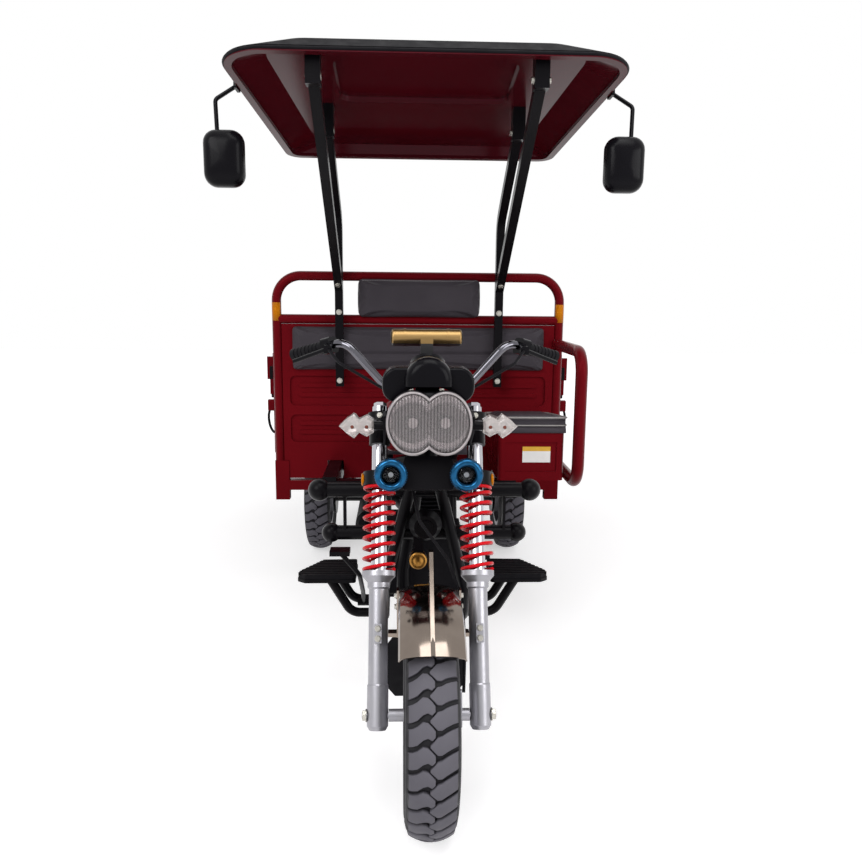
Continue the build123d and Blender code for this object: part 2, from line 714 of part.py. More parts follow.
LEAF_THICK = 8
LEAF_RADIUS = 790
with BuildPart() as leaf_springs:
    leaf_centre = 362 + LEAF_RADIUS
    for side in (-1, 1):
        for leaf, half_angle in enumerate((32.0, 27.0, 21.5, 16.0, 10.5)):
            inner = LEAF_RADIUS + LEAF_THICK * (leaf - 1)
            outer = inner + LEAF_THICK
            a = radians(half_angle)
            y0 = REAR_AXLE_Y
            with BuildSketch(Plane(origin=(side * RAIL_HALF - 30, 0, 0), x_dir=(0, 1, 0), z_dir=(1, 0, 0))):
                with BuildLine():
                    p = [
                        (y0 - inner * sin(a), leaf_centre - inner * cos(a)),
                        (y0 + inner * sin(a), leaf_centre - inner * cos(a)),
                        (y0 + outer * sin(a), leaf_centre - outer * cos(a)),
                        (y0 - outer * sin(a), leaf_centre - outer * cos(a)),
                    ]
                    ThreePointArc(p[0], (y0, leaf_centre - inner), p[1])
                    Line(p[1], p[2])
                    ThreePointArc(p[2], (y0, leaf_centre - outer), p[3])
                    Line(p[3], p[0])
                make_face()
            extrude(amount=60)
        for eye in (-SPRING_EYE, SPRING_EYE):
            with BuildSketch(Plane(origin=at(side * RAIL_HALF - 30, WHEELBASE + eye, 490), z_dir=(1, 0, 0))):
                Circle(22)
            extrude(amount=60)
            with BuildSketch(Plane(origin=at(side * RAIL_HALF - 31, WHEELBASE + eye, 490), z_dir=(1, 0, 0))):
                Circle(7 + FIT)
            extrude(amount=62, mode=Mode.SUBTRACT)
save(leaf_springs, "leaf_springs")

with BuildPart() as rear_axle:
    axle_mid = Vector(0, REAR_AXLE_Y, TYRE_RADIUS)
    hub = REAR_TRACK / 2
    with BuildSketch(Plane(origin=axle_mid, x_dir=(1, 0, 0), z_dir=(0, -1, 0))):
        with BuildLine():
            Polyline(
                (-hub - 49, 0), (-hub - 49, 20), (-hub - 43, 25), (67 - hub, 25), (67 - hub, 38),
                (71 - hub, 100), (79 - hub, 100), (79 - hub, 38),
                (-130, 38), (-96, 62), (-60, 104), (-30, 112), (30, 112), (60, 104), (96, 62), (130, 38),
                (hub - 79, 38), (hub - 79, 100), (hub - 71, 100), (hub - 67, 38), (hub - 67, 25),
                (hub + 43, 25), (hub + 49, 20), (hub + 49, 0), close=True,
            )
        make_face()
    revolve(axis=Axis(axle_mid, (1, 0, 0)))
    with BuildSketch(Plane(origin=axle_mid + Vector(0, -80, 0), z_dir=(0, -1, 0))):
        Circle(62)
    extrude(amount=90, taper=14)
    for side in (-1, 1):
        seat = side * RAIL_HALF
        add(box(at(seat - 34, WHEELBASE - 70, 290), at(seat + 34, WHEELBASE + 70, 329.7)))
save(rear_axle, "rear_axle")

SHAFT_FRONT = at(0, 955.3, 420)
SHAFT_REAR = at(0, WHEELBASE - 170.3, TYRE_RADIUS)
shaft_run = (SHAFT_REAR - SHAFT_FRONT).normalized()
shaft_tube = straight_bar(SHAFT_FRONT + shaft_run * 40, SHAFT_REAR - shaft_run * 40, 54)
with BuildPart() as drive_shaft:
    add(shaft_tube)
    for end, way in ((SHAFT_FRONT, 1), (SHAFT_REAR, -1)):
        with BuildSketch(Plane(origin=end, z_dir=(0, way, 0))):
            Circle(38)
        extrude(amount=14)
        with Locations(end + Vector(0, way * 34, 0)):
            Box(60, 46, 34)
        with Locations(end + Vector(0, way * 48, 0)):
            Box(34, 46, 60)
save(drive_shaft, "drive_shaft")

# Engine
with BuildPart() as engine_crankcase:
    with BuildSketch(side_plane(-105)):
        with BuildLine():
            FilletPolyline(
                (585, 345), (915, 335), (955, 380), (955, 470), (875, 545), (785, 562), (605, 562),
                (570, 470),
                (585, 345),
                radius=22, close=True,
            )
        make_face()
    extrude(amount=210)
    for side in (-1, 1):
        for setback, z, radius, reach in ((667, 448, 94, 38), (838, 442, 82, 26)):
            with BuildSketch(Plane(origin=at(side * 105, setback, z), z_dir=(side, 0, 0))):
                Circle(radius)
            extrude(amount=reach, taper=10)
            with BuildSketch(Plane(origin=at(side * (105 + reach), setback, z), z_dir=(side, 0, 0))):
                Circle(radius * 0.55)
            extrude(amount=5)
        for setback, width in ((752, 14), (780, 14)):
            add(box(at(side * 105, setback - width / 2, 380), at(side * 118, setback + width / 2, 540)))
    # Feet down to the cradle tubes
    for side in (-1, 1):
        for setback in (640, 890):
            add(box(at(side * 90, setback - 20, 327.2), at(side * 105, setback + 20, 380)))
            add(box(at(side * 90, setback - 20, 327.2), at(side * 132, setback + 20, 335)))
save(engine_crankcase, "engine_crankcase")

CYLINDER_SETBACK = 693
with BuildPart() as engine_cylinder:
    base = Plane(origin=at(0, CYLINDER_SETBACK, 562.2))
    with BuildSketch(base):
        Circle(52)
    extrude(amount=160)
    for fin in range(11):
        size = 146 if fin < 7 else 128
        with BuildSketch(base.offset(12 + 13 * fin)):
            RectangleRounded(size, size, 24)
        extrude(amount=4)
    with BuildSketch(base.offset(150)):
        RectangleRounded(104, 96, 20)
    extrude(amount=16)
    # Inlet at the rear and exhaust port at the front
    with BuildSketch(Plane(origin=at(-24, CYLINDER_SETBACK - 20, 680), z_dir=(0, -1, 0))):
        Circle(24)
    extrude(amount=64)
    with BuildSketch(Plane(origin=at(0, CYLINDER_SETBACK + 20, 652), z_dir=(0, 1, 0))):
        Circle(18)
    extrude(amount=60)
    with Locations(at(0, CYLINDER_SETBACK + 94, 650)):
        Box(52, 48, 56)
save(engine_cylinder, "engine_cylinder")

EXHAUST_START = at(-24, CYLINDER_SETBACK - 84.3, 680)
exhaust_pipe = bent_bar(
    [EXHAUST_START, at(-24, 540, 680), at(-62, 533, 450), at(-62, 533, 280), at(-62, 1000, 280),
     at(-190, 1150, 390),
     at(-190, 1260, 390)],
    38, 45,
)
with BuildPart() as exhaust:
    add(exhaust_pipe)
    with BuildSketch(Plane(origin=at(-190, 1200, 390), z_dir=(0, 1, 0))):
        Circle(56)
    extrude(amount=470)
    chamfer(exhaust.edges().filter_by(GeomType.CIRCLE).filter_by(lambda e: abs(e.radius - 56) < 0.1), 12)
    with BuildSketch(Plane(origin=at(-190, 1660, 372), z_dir=(0, 1, 0))):
        Circle(17)
    extrude(amount=110)
    with BuildSketch(Plane(origin=at(-190, 1771, 372), z_dir=(0, -1, 0))):
        Circle(14.5)
    extrude(amount=60, mode=Mode.SUBTRACT)
    for setback in (1300, 1560):
        add(box(at(-194, setback - 12, 440), at(-186, setback + 12, 480)))
        add(box(at(-304.8, setback - 12, 470), at(-186, setback + 12, 480)))
        add(box(at(-304.8, setback - 12, 470), at(-296, setback + 12, 545)))
save(exhaust, "exhaust")

# Tank, seat and side box
with BuildPart() as fuel_tank:
    with BuildSketch(side_plane(-118)):
        with BuildLine():
            FilletPolyline(
                (442, 838), (812, 770), (826, 800), (800, 872), (640, 962), (520, 974), (452, 930),
                (442, 838),
                radius=24, close=True,
            )
        make_face()
    extrude(amount=236)
    fillet(fuel_tank.edges().filter_by(Axis.X, reverse=True).group_by(Axis.X)[0], 26)
    fillet(fuel_tank.edges().filter_by(Axis.X, reverse=True).group_by(Axis.X)[-1], 26)
    with BuildSketch(Plane(origin=at(0, 300, 857.1), z_dir=(0, 450, -95))):
        Circle(24.3)
    extrude(amount=560, mode=Mode.SUBTRACT)
    with BuildSketch(Plane(origin=at(0, 300, 857.1), x_dir=(1, 0, 0), z_dir=(0, 450, -95))):
        with Locations((0, 50)):
            Rectangle(48.6, 100)
    extrude(amount=560, mode=Mode.SUBTRACT)
    with BuildSketch(Plane(origin=at(0, 560, 960))):
        Circle(34)
    extrude(amount=26)
save(fuel_tank, "fuel_tank")

with BuildPart() as driver_seat:
    with BuildSketch(side_plane(-165)):
        with BuildLine():
            FilletPolyline(
                (842, 742), (1284, 742), (1284, 842), (1180, 828), (1000, 810), (856, 830), (842, 742),
                radius=16, close=True,
            )
        make_face()
    extrude(amount=330)
    fillet(driver_seat.edges().filter_by(Axis.X, reverse=True).group_by(Axis.Z)[-1], 10)
    for side in (-1, 1):
        add(box(at(side * 110 - 14, 850, 736.2), at(side * 110 + 14, 1270, 744)))
save(driver_seat, "driver_seat")

with BuildPart() as side_box:
    add(box(at(268, 905, 640), at(500, 1300, 808)))
    fillet(side_box.edges().filter_by(Axis.Z), 14)
    with Locations(at(384, 905, 724)):
        Box(180, 8, 104, mode=Mode.SUBTRACT)
    for setback in (1060, 1270):
        add(box(at(306, setback - 18, RAIL_TOP + 0.2), at(354, setback + 18, 642)))
save(side_box, "side_box")

with BuildPart() as side_cushion:
    with BuildSketch(side_plane(258)):
        with BuildLine():
            Polyline((893, 808.2), (1300, 808.2), (1300, 822), (893, 866), close=True)
        make_face()
    extrude(amount=254)
    fillet(side_cushion.edges().filter_by(Axis.Z), 22)
    fillet(side_cushion.faces().sort_by(Axis.Z)[-1].edges(), 9)
save(side_cushion, "side_cushion")

guard_tube = bent_bar(
    [at(545, 1321.5, 1090), at(545, 880, 1090), at(545, 880, 630), at(545, 1321.5, 630)], 42, 75
)
with BuildPart() as side_guard:
    add(guard_tube)
save(side_guard, "side_guard")

# Leg guard in front of the engine: bars with ball ends, as half length, height, setback, two radii
GUARD_BARS = [(335, 725, 441.5, 21, 32), (300, 591, 463.3, 21, 28)]
with BuildPart() as leg_guard:
    for half, z, setback, bar, ball in GUARD_BARS:
        centre = half - ball
        neck = centre - (ball**2 - bar**2) ** 0.5
        with BuildSketch(Plane(origin=at(0, setback, z), x_dir=(1, 0, 0), z_dir=(0, 0, 1))):
            with BuildLine():
                Line((-half, 0), (half, 0))
                ThreePointArc((half, 0), (centre, ball), (neck, bar))
                Line((neck, bar), (-neck, bar))
                ThreePointArc((-neck, bar), (-centre, ball), (-half, 0))
            make_face()
        revolve(axis=Axis(at(0, setback, z), (1, 0, 0)))
    for x in (-232, -150, 150, 232):
        add(box(at(x - 4, 446, 600), at(x + 4, 476, 715)))
save(leg_guard, "leg_guard")

# Foot rests: a plate narrowing outwards on two arms, with a ribbed rubber pad
REST_PLAN = [(205, 515), (360, 515), (386, 535), (380, 560), (318, 660), (205, 665), (205, 515)]
REST_BOTTOM = 414
REST_TOP = 424
PAD_TOP = 440


def foot_rest(side, inset, low, high):
    """A plate of the foot rest's outline between two heights, drawn in by an inset."""
    with BuildPart() as rest:
        with BuildSketch(Plane(origin=at(0, 0, low))):
            with BuildLine():
                FilletPolyline(*[(side * x, setback) for x, setback in REST_PLAN], radius=12, close=True)
            make_face()
            offset(amount=-inset)
        extrude(amount=high - low)
    return rest.part


foot_arms = []
for side in (-1, 1):
    for setback in (540, 650):
        foot_arms.append(
            bent_bar(
                [at(side * 137.3, setback, 310), at(side * 220, setback, 310),
                 at(side * 282, setback, REST_BOTTOM)],
                28, 45,
            )
        )
with BuildPart() as foot_boards:
    add(foot_arms)
    for side in (-1, 1):
        add(foot_rest(side, 1, REST_BOTTOM, REST_TOP))
save(foot_boards, "foot_boards")

with BuildPart() as foot_pads:
    for side in (-1, 1):
        add(foot_rest(side, 3, REST_TOP + 0.2, PAD_TOP))
        for rib in range(9):
            near = 528 + 15 * rib
            groove = box(at(side * 200, near, PAD_TOP - 6), at(side * 400, near + 6, PAD_TOP + 1))
            add(groove, mode=Mode.SUBTRACT)
save(foot_pads, "foot_pads")

pedal_bars = [
    bent_bar([at(-186, 623.7, 310), at(-186, 560, 372), at(-190, 440, 470), at(-240, 440, 530)], 14, 30),
    bent_bar([at(178, 520, 492), at(178, 640, 486), at(178, 750, 512)], 14, 60),
]
with BuildPart() as foot_controls:
    add(pedal_bars)
    with Locations(at(-246, 440, 540)):
        Box(58, 46, 14)
    for setback, z in ((520, 492), (750, 512)):
        with Locations(at(178, setback, z + 6)):
            Box(44, 40, 12)
    with BuildSketch(Plane(origin=at(148.3, 640, 486), z_dir=(1, 0, 0))):
        Circle(9)
    extrude(amount=30)
    with BuildSketch(Plane(origin=at(-186, 623.7, 310), z_dir=(-1, 0, 0))):
        Circle(12)
    extrude(amount=20, both=True)
save(foot_controls, "foot_controls")

# Bed floor with its hinge ears and rear corner posts
GATE_INNER = FLOOR_HALF + GATE_GAP
GATE_OUTER = GATE_INNER + GATE_THICK
SIDE_HINGE_X = GATE_OUTER + HINGE_STANDOFF
TAIL_INNER = FLOOR_REAR + GATE_GAP
TAIL_OUTER = TAIL_INNER + GATE_THICK
TAIL_HINGE = TAIL_OUTER + HINGE_STANDOFF
SIDE_HINGES = (1560, 2220, 2880)
TAIL_HINGES = (-400, 0, 400)
KNUCKLE = 44
# The hinge ears reach the floor's edge, however low they hang
WEB_LOW = min(HINGE_HEIGHT - HINGE_RADIUS, FLOOR_TOP - FLOOR_DEPTH / 2)
WEB_HIGH = max(HINGE_HEIGHT + HINGE_RADIUS, FLOOR_TOP - FLOOR_DEPTH / 2)
POST_FOOT = FLOOR_TOP - FLOOR_DEPTH - 20
with BuildPart() as bed_floor:
    add(box(at(-FLOOR_HALF, FLOOR_FRONT, FLOOR_TOP - FLOOR_DEPTH), at(FLOOR_HALF, FLOOR_REAR, FLOOR_TOP)))
    with BuildSketch(Plane(origin=at(0, (FLOOR_FRONT + FLOOR_REAR) / 2, FLOOR_TOP - FLOOR_DEPTH))):
        with GridLocations(524, 338, 2, 5):
            Rectangle(484, 298)
    extrude(amount=FLOOR_DEPTH - 5, mode=Mode.SUBTRACT)
    # Chassis rails bear on the ribs
    for side in (-1, 1):
        x = side * RAIL_HALF
        add(box(at(x - 30, FLOOR_FRONT, RAIL_TOP + 0.2), at(x + 30, FLOOR_REAR, FLOOR_TOP - 3)))
        for setback in SIDE_HINGES:
            for end in (-KNUCKLE / 2 - 9, KNUCKLE / 2 + 1.5):
                ear = at(0, setback + end, HINGE_HEIGHT)
                ear_plane = Plane(origin=ear, x_dir=(side, 0, 0), z_dir=(0, 1, 0))
                with BuildSketch(ear_plane):
                    with Locations((SIDE_HINGE_X, 0)):
                        Circle(HINGE_RADIUS)
                    with Locations(((FLOOR_HALF + SIDE_HINGE_X) / 2, 0)):
                        Rectangle(SIDE_HINGE_X - FLOOR_HALF, 2 * HINGE_RADIUS)
                    with Locations((FLOOR_HALF + 1.5, (WEB_LOW + WEB_HIGH) / 2 - HINGE_HEIGHT)):
                        Rectangle(5, WEB_HIGH - WEB_LOW)
                extrude(amount=7.5)
            pin_start = at(side * SIDE_HINGE_X, setback - KNUCKLE / 2 - 9, HINGE_HEIGHT)
            with BuildSketch(Plane(origin=pin_start, z_dir=(0, 1, 0))):
                Circle(HINGE_PIN / 2)
            extrude(amount=KNUCKLE + 18)
    for x in TAIL_HINGES:
        for end in (-KNUCKLE / 2 - 9, KNUCKLE / 2 + 1.5):
            with BuildSketch(side_plane(x + end)):
                with Locations((TAIL_HINGE, HINGE_HEIGHT)):
                    Circle(HINGE_RADIUS)
                with Locations(((FLOOR_REAR + TAIL_HINGE) / 2, HINGE_HEIGHT)):
                    Rectangle(TAIL_HINGE - FLOOR_REAR, 2 * HINGE_RADIUS)
                with Locations((FLOOR_REAR + 1.5, (WEB_LOW + WEB_HIGH) / 2)):
                    Rectangle(5, WEB_HIGH - WEB_LOW)
            extrude(amount=7.5)
        with BuildSketch(Plane(origin=at(x - KNUCKLE / 2 - 9, TAIL_HINGE, HINGE_HEIGHT), z_dir=(1, 0, 0))):
            Circle(HINGE_PIN / 2)
        extrude(amount=KNUCKLE + 18)
    for side in (-1, 1):
        outer = side * GATE_OUTER
        inner = side * (FLOOR_HALF - 4)
        brace = side * (FLOOR_HALF - 40)
        add(box(at(side * GATE_INNER, FLOOR_REAR, POST_FOOT), at(outer, TAIL_OUTER, GATE_TOP)))
        add(box(at(brace, FLOOR_REAR - 40, POST_FOOT), at(outer, FLOOR_REAR, POST_FOOT + 20)))
        add(box(at(inner, FLOOR_REAR, POST_FOOT), at(outer, TAIL_OUTER, POST_FOOT + 20)))
save(bed_floor, "bed_floor")


# Gates: a framed panel with pressed ribs, hinge knuckles and latches
def ribbed_gate(origin, along, out, length, ribs):
    """A gate from its lower middle point; along runs its length and out points outwards."""
    height = GATE_TOP - GATE_BOTTOM
    face = Plane(origin=origin, x_dir=along, z_dir=out)
    mid = height / 2
    with BuildPart() as gate:
        with BuildSketch(face):
            with Locations((0, mid)):
                Rectangle(length, height)
        extrude(amount=GATE_THICK)
        bay = (length - 70) / ribs
        with BuildSketch(face.offset(GATE_THICK)):
            with Locations((0, mid)):
                with GridLocations(bay, 170, ribs, 2):
                    RectangleRounded(bay - 50, 132, 16)
        extrude(amount=-10, mode=Mode.SUBTRACT, taper=20)
        with BuildSketch(face):
            with Locations((0, mid)):
                with GridLocations(bay, 170, ribs, 2):
                    RectangleRounded(bay - 50, 132, 16)
        extrude(amount=10, mode=Mode.SUBTRACT, taper=20)
    return gate


def add_hinges(gate, origin, along, out, stations):
    """Add bored knuckles on straps below the gate's outer face; returns the finished solid."""
    drop = HINGE_HEIGHT - GATE_BOTTOM
    strap_low = min(drop, 0)
    strap_high = max(drop, 0) + 59
    with BuildPart() as hinged:
        add(gate.part)
        for station in stations:
            end = Vector(origin) + Vector(along) * (station - KNUCKLE / 2)
            section = Plane(origin=end, x_dir=out, z_dir=along)
            up = 1 if section.y_dir.Z > 0 else -1
            with BuildSketch(section):
                with Locations((GATE_THICK + HINGE_STANDOFF, up * drop)):
                    Circle(HINGE_RADIUS)
                with Locations((GATE_THICK + 3.5, up * (strap_low + strap_high) / 2)):
                    Rectangle(7, strap_high - strap_low)
                with Locations((GATE_THICK + HINGE_STANDOFF, up * drop)):
                    Circle(HINGE_PIN / 2 + FIT, mode=Mode.SUBTRACT)
            extrude(amount=KNUCKLE)
    return hinged


SIDE_GATE_LENGTH = FLOOR_REAR - FLOOR_FRONT - 2 * GATE_GAP
SIDE_GATE_MID = (FLOOR_FRONT + FLOOR_REAR) / 2
for side, label in ((-1, "right"), (1, "left")):
    foot = at(side * GATE_INNER, SIDE_GATE_MID, GATE_BOTTOM)
    along = (0, side, 0)
    out = (side, 0, 0)
    plain = ribbed_gate(foot, along, out, SIDE_GATE_LENGTH, 5)
    stations = [side * (s - SIDE_GATE_MID) for s in SIDE_HINGES]
    side_gate = add_hinges(plain, foot, along, out, stations)
    with BuildPart() as side_gate_done:
        add(side_gate.part)
        for setback in (FLOOR_FRONT + 30, FLOOR_REAR - 30):
            face = side * GATE_OUTER
            add(box(at(face, setback - 13, 880), at(face + side * 14, setback + 13, 990)))
            add(box(at(face, setback - 8, 940), at(face + side * 25, setback + 8, 1030)))
    save(side_gate_done, "side_gate_" + label)

TAIL_LENGTH = 2 * (GATE_INNER - GATE_GAP)
tail_foot = at(0, TAIL_INNER, GATE_BOTTOM)
plain = ribbed_gate(tail_foot, (-1, 0, 0), (0, 1, 0), TAIL_LENGTH, 3)
tail_hinged = add_hinges(plain, tail_foot, (-1, 0, 0), (0, 1, 0), TAIL_HINGES)
with BuildPart() as tailgate:
    add(tail_hinged.part)
save(tailgate, "tailgate")

with BuildPart() as tail_lamps:
    for side in (-1, 1):
        low = at(side * 360, FLOOR_REAR - 8, GATE_BOTTOM - 89)
        add(box(low, at(side * 500, FLOOR_REAR + 18, GATE_BOTTOM - 29)))
    fillet(tail_lamps.edges().filter_by(Axis.Y), 12)
    for side in (-1, 1):
        stem = at(side * 400, FLOOR_REAR - 20, GATE_BOTTOM - 55)
        add(box(stem, at(side * 460, FLOOR_REAR - 8, FLOOR_TOP - FLOOR_DEPTH - 0.2)))
save(tail_lamps, "tail_lamps")

# Headboard
loop_tube = bent_bar(
    [at(-POST_HALF, HEADBOARD_SETBACK, 475), at(-POST_HALF, HEADBOARD_SETBACK, 1346),
     at(POST_HALF, HEADBOARD_SETBACK, 1346), at(POST_HALF, HEADBOARD_SETBACK, 475)],
    HEADBOARD_TUBE, 95,
)
second_rail = straight_bar(
    at(-POST_HALF, HEADBOARD_SETBACK, 1181), at(POST_HALF, HEADBOARD_SETBACK, 1181), HEADBOARD_TUBE
)
with BuildPart() as headboard_frame:
    add(loop_tube)
    add(second_rail)
    sill_low = at(-POST_HALF, HEADBOARD_SETBACK - 18, 500)
    sill_high = at(POST_HALF, HEADBOARD_SETBACK + 18, RAIL_BOTTOM - 0.2)
    add(box(sill_low, sill_high))
    # Foot plates on the posts
    for side in (-1, 1):
        inner = at(side * 515, HEADBOARD_SETBACK - 18, 460)
        add(box(inner, at(side * (POST_HALF + 18), HEADBOARD_SETBACK + 18, 620.5)))
save(headboard_frame, "headboard_frame")

PANEL_FRONT = 1327
PANEL_REAR = 1353
with BuildPart() as headboard_panel:
    add(box(at(-533.5, PANEL_FRONT, 621), at(533.5, PANEL_REAR, 1162.5)))
    # Apron below, notched for the chassis rails
    for low, high in ((-514.5, -362), (-298, 298), (362, 514.5)):
        add(box(at(low, PANEL_FRONT, 548), at(high, PANEL_FRONT + 13, 625)))
    front = Plane(origin=at(0, PANEL_FRONT, 0), x_dir=(1, 0, 0), z_dir=(0, -1, 0))
    rear = Plane(origin=at(0, PANEL_REAR, 0), x_dir=(1, 0, 0), z_dir=(0, -1, 0))
    for low, high in ((842, 960), (696, 806)):
        with BuildSketch(front):
            with Locations((0, (low + high) / 2)):
                RectangleRounded(1010, high - low, 22)
        extrude(amount=-9, mode=Mode.SUBTRACT)
        with BuildSketch(front.offset(-9)):
            with Locations((0, low + (high - low) * 0.36), (0, low + (high - low) * 0.68)):
                SlotOverall(940, 16)
        extrude(amount=6)
    for low, high in ((700, 860), (900, 1060)):
        with BuildSketch(rear):
            with Locations((0, (low + high) / 2)):
                RectangleRounded(1000, high - low, 22)
        extrude(amount=8, mode=Mode.SUBTRACT)
save(headboard_panel, "headboard_panel")

with BuildPart() as back_pad_lower:
    add(box(at(-497, 1293, 978), at(497, PANEL_FRONT - 0.2, 1160)))
    fillet(back_pad_lower.edges().filter_by(Axis.Y), 26)
    fillet(back_pad_lower.faces().sort_by(Axis.Y)[0].edges(), 14)
save(back_pad_lower, "back_pad_lower")

with BuildPart() as back_pad_upper:
    add(box(at(-240, 1283, 1185), at(240, 1321.7, 1342)))
    fillet(back_pad_upper.edges().filter_by(Axis.Y), 24)
    fillet(back_pad_upper.faces().sort_by(Axis.Y)[0].edges(), 14)
save(back_pad_upper, "back_pad_upper")


# Canopy
def roof_outline(height, inset_side, inset_end, trim=0):
    """The roof's plan at a height, drawn in from its sides and ends, with its corner radii trimmed."""
    front = ROOF_HALF_FRONT - inset_side
    rear = ROOF_HALF_REAR - inset_side
    end = ROOF_LENGTH - inset_end
    with BuildSketch(ROOF.offset(height)) as outline:
        with BuildLine():
            Polyline((-front, inset_end), (front, inset_end), (rear, end), (-rear, end), close=True)
        make_face()
        fillet(outline.vertices().group_by(Axis.Y)[0], ROOF_FRONT_CORNER - trim)
        fillet(outline.vertices().group_by(Axis.Y)[-1], ROOF_REAR_CORNER - trim)
    return outline.sketch


CROWN_UNDER = ROOF_CROWN - ROOF_WALL
with BuildPart() as canopy_roof:
    extrude(to_extrude=roof_outline(0, 0, 0), amount=ROOF_LIP)
    loft(sections=[roof_outline(ROOF_LIP, 0, 0), roof_outline(ROOF_CROWN, 110, 34)], ruled=True)
    # Hollow underside inside a flat flange
    mouth = roof_outline(-1, ROOF_FLANGE, ROOF_FLANGE, ROOF_FLANGE)
    extrude(to_extrude=mouth, amount=ROOF_LIP, mode=Mode.SUBTRACT)
    flange_top = roof_outline(ROOF_LIP - 1, ROOF_FLANGE, ROOF_FLANGE, ROOF_FLANGE)
    crown_under = roof_outline(CROWN_UNDER, 112, ROOF_FLANGE + 15, ROOF_FLANGE)
    loft(sections=[flange_top, crown_under], ruled=True, mode=Mode.SUBTRACT)
    # Pressed panel in the middle
    with BuildSketch(ROOF.offset(ROOF_CROWN)):
        with Locations((0, 288)):
            RectangleRounded(534, 310, 40)
    extrude(amount=14, taper=20)
    with BuildSketch(ROOF.offset(CROWN_UNDER - 1)):
        with Locations((0, 288)):
            RectangleRounded(524, 300, 38)
    extrude(amount=15, taper=20, mode=Mode.SUBTRACT)
save(canopy_roof, "canopy_roof")


def square_bar(points, size, bend):
    """A square tube in the side plane along straight runs joined by arcs."""
    with BuildPart() as bar:
        with BuildLine() as path:
            FilletPolyline(*points, radius=bend)
        with BuildSketch(Plane(origin=path.wire() @ 0, x_dir=(1, 0, 0), z_dir=path.wire() % 0)):
            Rectangle(size, size)
        sweep()
    return bar.part


FRONT_POST_TOP = ROOF_EDGE_HEIGHT - 41
REAR_POST_TOP = ROOF_EDGE_HEIGHT - 97
REAR_POST_BEND = ROOF_EDGE_HEIGHT - 348
canopy_bars = []
for side in (-1, 1):
    x = side * CANOPY_POST_HALF
    s = CANOPY_POST_SETBACK
    rear_bar = [at(x, s, 926), at(x, s, REAR_POST_BEND), at(x, 880, REAR_POST_TOP)]
    front_bar = [at(x, s - 4, 1300), at(x, 472, FRONT_POST_TOP), at(x, 472, FRONT_POST_TOP + 48)]
    canopy_bars.append(square_bar(rear_bar, CANOPY_POST, 90))
    canopy_bars.append(square_bar(front_bar, CANOPY_POST, 40))
with BuildPart() as canopy_posts:
    add(canopy_bars)
    for side in (-1, 1):
        x = side * CANOPY_POST_HALF
        # Brackets up to the roof, cut to its slope
        for setback, low in ((472, FRONT_POST_TOP - 26), (880, REAR_POST_TOP - 26)):
            add(box(at(x - 20, setback - 22, low), at(x + 20, setback + 22, ROOF_EDGE_HEIGHT + 67)))
        # Bolting spacers on the headboard
        for z, reach in ((1346, 1321.5), (1181, 1321.5), (949, 1335.5)):
            with BuildSketch(Plane(origin=at(x, CANOPY_POST_SETBACK, z), z_dir=(0, 1, 0))):
                Circle(11)
            extrude(amount=reach - CANOPY_POST_SETBACK)
    with BuildSketch(ROOF.offset(CROWN_UNDER - 0.2)):
        with Locations((0, 400)):
            Rectangle(1400, 1400)
    extrude(amount=200, mode=Mode.SUBTRACT)
save(canopy_posts, "canopy_posts")

# Mirrors, on arms from the roof's side edges
MIRROR_REACH = 247
MIRROR_HALF = 567
MIRROR_Z = ROOF_EDGE_HEIGHT - 243
ROOF_SPLAY = ROOF_HALF_FRONT - ROOF_HALF_REAR
mirror_seats = []
mirror_arms = []
for side in (-1, 1):
    edge = side * (ROOF_HALF_FRONT - ROOF_SPLAY * MIRROR_REACH / ROOF_LENGTH)
    outward = (ROOF.x_dir * (side * ROOF_LENGTH) + ROOF.y_dir * ROOF_SPLAY).normalized()
    seat = ROOF.from_local_coords(Vector(edge, MIRROR_REACH, ROOF_LIP / 2)) + outward * 0.2
    mirror_seats.append(Plane(origin=seat, x_dir=ROOF.z_dir, z_dir=outward))
    mirror_arms.append(
        bent_bar(
            [seat + outward * 6, at(side * (MIRROR_HALF + 27), 600, MIRROR_Z + 165),
             at(side * (MIRROR_HALF + 17), 566, MIRROR_Z + 62),
             at(side * (MIRROR_HALF + 2), 562, MIRROR_Z + 33)],
            12, 22,
        )
    )
with BuildPart() as mirrors:
    add(mirror_arms)
    for seat in mirror_seats:
        with BuildSketch(seat):
            RectangleRounded(24, 44, 5)
        extrude(amount=8)
    for side in (-1, 1):
        back = Plane(origin=at(side * MIRROR_HALF, 574, MIRROR_Z), x_dir=(1, 0, 0), z_dir=(0, -1, 0))
        with BuildSketch(back):
            RectangleRounded(112, 154, 36)
        extrude(amount=32, taper=24)
        with BuildSketch(back):
            RectangleRounded(112, 154, 36)
        extrude(amount=-6)
save(mirrors, "mirrors")
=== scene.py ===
import json
import math

import bmesh
import bpy
from mathutils import Matrix, Vector


